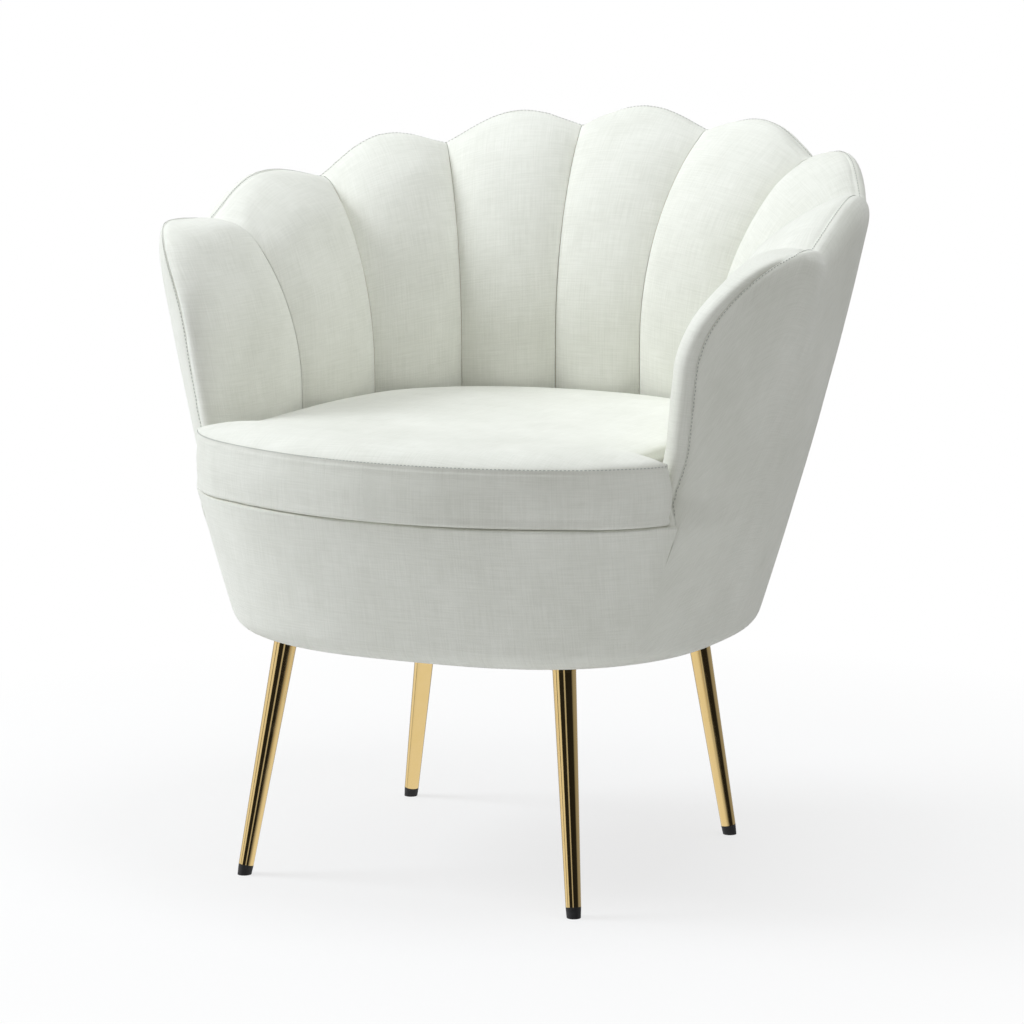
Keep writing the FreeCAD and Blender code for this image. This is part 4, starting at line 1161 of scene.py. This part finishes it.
def stitch_tree():
    """Geometry Nodes group that lays stitches along a curve."""
    name = "stitch_row"
    if name in bpy.data.node_groups:
        return bpy.data.node_groups[name]
    tree = bpy.data.node_groups.new(name, "GeometryNodeTree")
    for label, way, kind in (("Geometry", "INPUT", "Geometry"), ("Pitch", "INPUT", "Float"),
                             ("Stitch Length", "INPUT", "Float"), ("Thread Radius", "INPUT", "Float"),
                             ("Material", "INPUT", "Material"), ("Geometry", "OUTPUT", "Geometry")):
        tree.interface.new_socket(label, in_out=way, socket_type="NodeSocket" + kind)
    given = add(tree, "NodeGroupInput").outputs
    points = add(tree, "GeometryNodeCurveToPoints", mode="LENGTH")
    plug(tree, points.inputs["Curve"], given["Geometry"])
    plug(tree, points.inputs["Length"], given["Pitch"])
    ball = add(tree, "GeometryNodeMeshUVSphere", {"Segments": 6, "Rings": 5, "Radius": 1.0})
    scale = add(tree, "ShaderNodeCombineXYZ", {
        "X": given["Thread Radius"], "Y": given["Thread Radius"],
        "Z": maths(tree, "MULTIPLY", given["Stitch Length"], 0.5)})
    shape = add(tree, "GeometryNodeTransform", {
        "Geometry": ball.outputs["Mesh"], "Scale": scale.outputs["Vector"]})
    place = add(tree, "GeometryNodeInstanceOnPoints", {
        "Points": points.outputs["Points"], "Rotation": points.outputs["Rotation"],
        "Instance": shape.outputs["Geometry"]})
    whole = add(tree, "GeometryNodeRealizeInstances", {"Geometry": place.outputs["Instances"]})
    paint = add(tree, "GeometryNodeSetMaterial", {
        "Geometry": whole.outputs["Geometry"], "Material": given["Material"]})
    add(tree, "NodeGroupOutput", {"Geometry": paint.outputs["Geometry"]})
    return tree


def stitch_row(name, lines, body):
    """Stitches along several lines, as one plain mesh that rides on a body."""
    s = sizes()
    curve = bpy.data.curves.new(name + "_path", "CURVE")
    curve.dimensions = "3D"
    for line in lines:
        run = curve.splines.new("POLY")
        run.points.add(len(line) - 1)
        flat = np.concatenate([line, np.ones((len(line), 1))], axis=1)
        run.points.foreach_set("co", flat.ravel())
    path = bpy.data.objects.new(name + "_path", curve)
    bpy.context.scene.collection.objects.link(path)
    modifier = path.modifiers.new("Stitches", "NODES")
    modifier.node_group = stitch_tree()
    values = {"Pitch": s.stitch_pitch, "Stitch Length": s.stitch_length,
              "Thread Radius": s.thread_radius, "Material": shared("sewing_thread", thread_material)}
    for item in modifier.node_group.interface.items_tree:
        if item.item_type == "SOCKET" and item.in_out == "INPUT" and item.name in values:
            modifier[item.identifier] = values[item.name]
    bpy.context.view_layer.update()
    evaluated = path.evaluated_get(bpy.context.evaluated_depsgraph_get())
    mesh = bpy.data.meshes.new_from_object(evaluated)
    mesh.name = name
    bpy.data.objects.remove(path)
    piece = bpy.data.objects.new(name, mesh)
    bpy.context.scene.collection.objects.link(piece)
    mesh.polygons.foreach_set("use_smooth", [True] * len(mesh.polygons))
    if not mesh.materials:
        mesh.materials.append(shared("sewing_thread", thread_material))
    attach(piece, body)
    return piece


# Operators

class MakeChannels(bpy.types.Operator):
    """Nine velvet channels from the seat to the scalloped crest"""
    bl_idname = PREFIX + ".make_channels"
    bl_label = "Channels"

    def execute(self, context):
        velvet = shared("ivory_velvet", velvet_material)
        arm = sewn(uneven(arm_grid(), seed=9.0), arm_edge_line(), seed=9.0)
        arm = backed(arm, edge_line=True)
        pads = [[flipped(side)[:, ::-1] for side in arm]]
        for index, crest in enumerate(crest_lines()):
            grid = uneven(channel_grid(index), seed=index * 3.1)
            pads.append(backed(sewn(grid, crest, seed=index + 1.0)))
        for number, (front, back) in enumerate(pads + [arm], start=1):
            piece = closed_pad("channel_%d" % number, front, back)
            dress(piece, velvet)
            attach(piece, "frame")
            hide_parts("channel_pad_%d" % number, *(["inner_cover"] if number == 5 else []))
        return {"FINISHED"}


class MakeOuterCover(bpy.types.Operator):
    """Velvet outer cover from the scalloped edge to the hem under the drum"""
    bl_idname = PREFIX + ".make_outer_cover"
    bl_label = "Outer cover"

    def execute(self, context):
        arm = arm_edge_line()
        lines = [arm, flipped(arm)] + crest_lines()
        grid = uneven(outer_grid(), 0.0006, 6.0, 4.0)
        grid = sewn(grid, np.concatenate(lines), seed=2.0)
        piece = closed_pad("outer_velvet", grid, lined(grid))
        dress(piece, shared("ivory_velvet", velvet_material))
        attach(piece, "frame")
        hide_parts("outer_cover", "wall_padding_left", "wall_padding_back", "wall_padding_right")
        return {"FINISHED"}


class MakeApron(bpy.types.Operator):
    """Velvet apron round the front of the drum"""
    bl_idname = PREFIX + ".make_apron"
    bl_label = "Apron"

    def execute(self, context):
        grid = uneven(apron_grid(), 0.0006, 7.0, 6.0)
        piece = closed_pad("apron_velvet", grid, lined(grid))
        dress(piece, shared("ivory_velvet", velvet_material))
        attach(piece, "frame")
        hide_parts("apron_cover", "apron_padding")
        return {"FINISHED"}


class MakeCushion(bpy.types.Operator):
    """Loose seat cushion with ears in front of the arms"""
    bl_idname = PREFIX + ".make_cushion"
    bl_label = "Seat cushion"

    def execute(self, context):
        piece = make_piece("seat_cushion", *cushion_mesh())
        dress(piece, shared("ivory_velvet", velvet_material))
        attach(piece, "seat_cushion")
        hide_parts("cushion_foam", "cushion_top_panel", "cushion_band", "cushion_base_panel")
        return {"FINISHED"}


class MakeDeck(bpy.types.Operator):
    """Padded deck under the loose cushion"""
    bl_idname = PREFIX + ".make_deck"
    bl_label = "Deck"

    def execute(self, context):
        vertices, faces = deck_mesh()
        piece = make_piece("deck_cloth", vertices, faces, vertices[:, :2])
        dress(piece, shared("lining_cloth", lining_material))
        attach(piece, "frame")
        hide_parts("deck_pad", "deck_cover")
        return {"FINISHED"}


def on_cloth(name, line, aside, rise=0.0005):
    """A line laid on a piece's surface, a little to one side of where it starts."""
    piece = bpy.data.objects[name]
    laid = []
    for point in line:
        near = Vector(point) + Vector(aside(point))
        found, place, normal, face = piece.closest_point_on_mesh(near)
        laid.append(np.array(place + normal * rise))
    return np.array(laid)


class MakeStitches(bpy.types.Operator):
    """Rows of stitches beside the sewn edges"""
    bl_idname = PREFIX + ".make_stitches"
    bl_label = "Stitches"

    def execute(self, context):
        s = sizes()

        def outside(point):
            away = unit(np.array([point[0], point[1] - s.centre_y, 0.0]))
            return away * 0.0016

        arm = arm_edge_line()
        arm = arm[arm[:, 2] > s.cushion_base + 0.01]
        lines = [arm, flipped(arm)] + crest_lines()
        rows = [on_cloth("outer_velvet", line[::2], outside) for line in lines]
        stitch_row("stitches_frame", rows, "frame")
        loop = cushion_loop(s.cushion_seam + 0.0022, 0.0034)
        front = loop[loop[:, 1] < s.centre_y - s.ear_reach - 0.004]
        row = on_cloth("seat_cushion", order_row(front), lambda point: (0, 0, 0.0006))
        stitch_row("stitches_cushion", [row], "seat_cushion")
        return {"FINISHED"}


def order_row(points):
    """Points of one open row, sorted by walking from its left end."""
    rest = list(points)
    rest.sort(key=lambda p: (p[0], -p[1]))
    start = min(rest, key=lambda p: (round(p[0], 3) > -0.255, -p[1]))
    row = [start]
    rest = [p for p in rest if p is not start]
    while rest:
        nearest = min(rest, key=lambda p: np.linalg.norm(p - row[-1]))
        row.append(nearest)
        rest = [p for p in rest if p is not nearest]
    return dense(np.array(row), 0.002)


class FinishHardParts(bpy.types.Operator):
    """Finishes of the legs, caps, frame, springs and screws"""
    bl_idname = PREFIX + ".finish_hard_parts"
    bl_label = "Hard parts"

    def execute(self, context):
        ply = shared("plywood", wood_material, "plywood", (1.0, 5.0, 5.0))
        timber = shared("timber", wood_material, "timber", (5.0, 5.0, 1.0))
        finishes = {
            "leg_front": shared("polished_gold", gold_material),
            "leg_back": shared("polished_gold", gold_material),
            "leg_plates": shared("polished_gold", gold_material),
            "leg_screws": shared("zinc_steel", steel_material),
            "foot_cap": shared("foot_cap_rubber", rubber_material),
            "zigzag_springs": shared("zinc_steel", steel_material),
            "spring_clips": shared("clip_plastic", clip_material),
            "dust_cover": shared("lining_cloth", lining_material),
            "corner_posts": timber,
            "drum_ribs": timber,
        }
        for name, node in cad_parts.items():
            if node.hide_render:
                continue
            found = [material for start, material in finishes.items() if name.startswith(start)]
            dress_slots(node, found[0] if found else ply)
        return {"FINISHED"}


def dress_slots(node, material):
    for slot in node.material_slots:
        slot.material = material
    if not node.material_slots:
        node.data.materials.append(material)


def studio_round(tree):
    """Pale walls and dark flags round the chair, which the polished legs mirror."""
    way = add(tree, "ShaderNodeTexCoord").outputs["Generated"]
    parts = add(tree, "ShaderNodeSeparateXYZ", {0: way})
    back = maths(tree, "MULTIPLY", parts.outputs["Y"], -1.0)
    turn = maths(tree, "ARCTAN2", parts.outputs["X"], back)
    share = maths(tree, "ADD", maths(tree, "DIVIDE", turn, 2 * math.pi), 0.5)
    ramp = add(tree, "ShaderNodeValToRGB", {"Fac": share})
    walls = ((-180, 0.42), (-112, 0.55), (-100, 0.95), (-66, 0.9), (-63, 0.12), (-58, 0.10),
             (-55, 0.85), (-33, 0.85), (-28, 0.02), (14, 0.02), (19, 0.55), (27, 0.55),
             (32, 0.015), (96, 0.02), (112, 0.30), (180, 0.42))
    while len(ramp.color_ramp.elements) < len(walls):
        ramp.color_ramp.elements.new(0.5)
    for element, (degrees, level) in zip(ramp.color_ramp.elements, walls):
        element.position = degrees / 360 + 0.5
        element.color = (level, level, level, 1.0)
    below = ranged(tree, parts.outputs["Z"], -0.36, -0.22, 0.9, 0.0)
    return maths(tree, "MAXIMUM", ramp.outputs["Color"], below)


def make_world(sky):
    """White for the camera, the round of walls for polished metal, an even sky for all else."""
    world = bpy.data.worlds.new("studio")
    world.use_nodes = True
    tree = world.node_tree
    even = tree.nodes["Background"]
    even.inputs["Color"].default_value = (0.995, 0.995, 0.985, 1.0)
    even.inputs["Strength"].default_value = sky
    bright = add(tree, "ShaderNodeBackground", {"Color": WHITE, "Strength": 1.0})
    mirrored = add(tree, "ShaderNodeBackground", {"Color": studio_round(tree)})
    rays = add(tree, "ShaderNodeLightPath").outputs
    shiny = add(tree, "ShaderNodeMixShader", {
        "Fac": rays["Is Glossy Ray"], 1: even.outputs[0], 2: mirrored.outputs[0]})
    either = add(tree, "ShaderNodeMixShader", {
        "Fac": rays["Is Camera Ray"], 1: shiny.outputs[0], 2: bright.outputs[0]})
    plug(tree, tree.nodes["World Output"].inputs["Surface"], either.outputs[0])
    return world


def floor_material():
    """Floor that keeps the chair's shadow and goes over into plain white around it."""
    material, tree, shader, place = new_material(
        "pale_floor", Base_Color=(0.93, 0.93, 0.93, 1.0), Roughness=0.6)
    glow = add(tree, "ShaderNodeEmission", {"Strength": 1.0})
    rays = add(tree, "ShaderNodeLightPath").outputs
    away = add(tree, "ShaderNodeVectorMath", {0: place}, operation="LENGTH").outputs["Value"]
    plainer = ranged(tree, away, 0.45, 1.1, 0.74, 1.0)
    either = add(tree, "ShaderNodeMixShader", {
        "Fac": maths(tree, "MULTIPLY", rays["Is Camera Ray"], plainer),
        1: shader.outputs[0], 2: glow.outputs[0]})
    plug(tree, tree.nodes["Material Output"].inputs["Surface"], either.outputs[0])
    return material


class MakeStage(bpy.types.Operator):
    """Pale floor, soft lights and the camera"""
    bl_idname = PREFIX + ".make_stage"
    bl_label = "Stage"

    def execute(self, context):
        scene = context.scene
        stage = scene.scallop_chair_stage
        scene.world = make_world(stage.sky)

        mesh = bpy.data.meshes.new("floor")
        mesh.from_pydata([(-6, -6, 0), (6, -6, 0), (6, 6, 0), (-6, 6, 0)], [], [(0, 1, 2, 3)])
        floor = bpy.data.objects.new("floor", mesh)
        scene.collection.objects.link(floor)
        floor.data.materials.append(floor_material())
        floor.visible_glossy = False

        target = Vector((0.02755, sizes().centre_y - 0.02, 0.385))
        area_light(scene, "key_light", (-2.6, -0.95, 2.45), target, 1.5, stage.key_power)
        area_light(scene, "top_light", (0.5, 0.1, 2.9), target, 1.2, stage.top_power)

        lens = bpy.data.cameras.new("camera")
        lens.sensor_width = 36.0
        lens.lens = stage.lens
        lens.clip_end = 50.0
        camera = bpy.data.objects.new("camera", lens)
        scene.collection.objects.link(camera)
        flat = math.cos(stage.elevation)
        away = Vector((math.sin(stage.azimuth) * flat, -math.cos(stage.azimuth) * flat,
                       math.sin(stage.elevation)))
        camera.location = target + away * stage.distance
        camera.rotation_euler = (-away).to_track_quat("-Z", "Y").to_euler()
        scene.camera = camera
        scene.view_settings.view_transform = "Standard"
        return {"FINISHED"}


def area_light(scene, name, place, target, size, power):
    lamp = bpy.data.lights.new(name, "AREA")
    lamp.shape = "DISK"
    lamp.size = size
    lamp.energy = power
    lamp.color = (0.91, 0.95, 1.0)
    light = bpy.data.objects.new(name, lamp)
    scene.collection.objects.link(light)
    light.location = place
    light.rotation_euler = (Vector(place) - target).to_track_quat("Z", "Y").to_euler()


class ChairPanel(bpy.types.Panel):
    """Buttons for each group of pieces"""
    bl_idname = "VIEW3D_PT_scallop_chair"
    bl_label = "Scallop back chair"
    bl_space_type = "VIEW_3D"
    bl_region_type = "UI"
    bl_category = "Chair"

    def draw(self, context):
        for step in STEPS:
            self.layout.operator(step.bl_idname)


STEPS = (MakeChannels, MakeOuterCover, MakeApron, MakeCushion, MakeDeck, MakeStitches,
         FinishHardParts, MakeStage)
GROUPS = (("scallop_chair_sizes", ChairSizes), ("scallop_chair_finish", ChairFinish),
          ("scallop_chair_stage", ChairStage))


def register():
    for name, group in GROUPS:
        bpy.utils.register_class(group)
        setattr(bpy.types.Scene, name, bpy.props.PointerProperty(type=group))
    for step in STEPS:
        bpy.utils.register_class(step)
    bpy.utils.register_class(ChairPanel)


def unregister():
    bpy.utils.unregister_class(ChairPanel)
    for step in reversed(STEPS):
        bpy.utils.unregister_class(step)
    for name, group in reversed(GROUPS):
        delattr(bpy.types.Scene, name)
        bpy.utils.unregister_class(group)


def main():
    register()
    for step in STEPS:
        group, name = step.bl_idname.split(".")
        getattr(getattr(bpy.ops, group), name)()


if __name__ == "__main__":
    main()
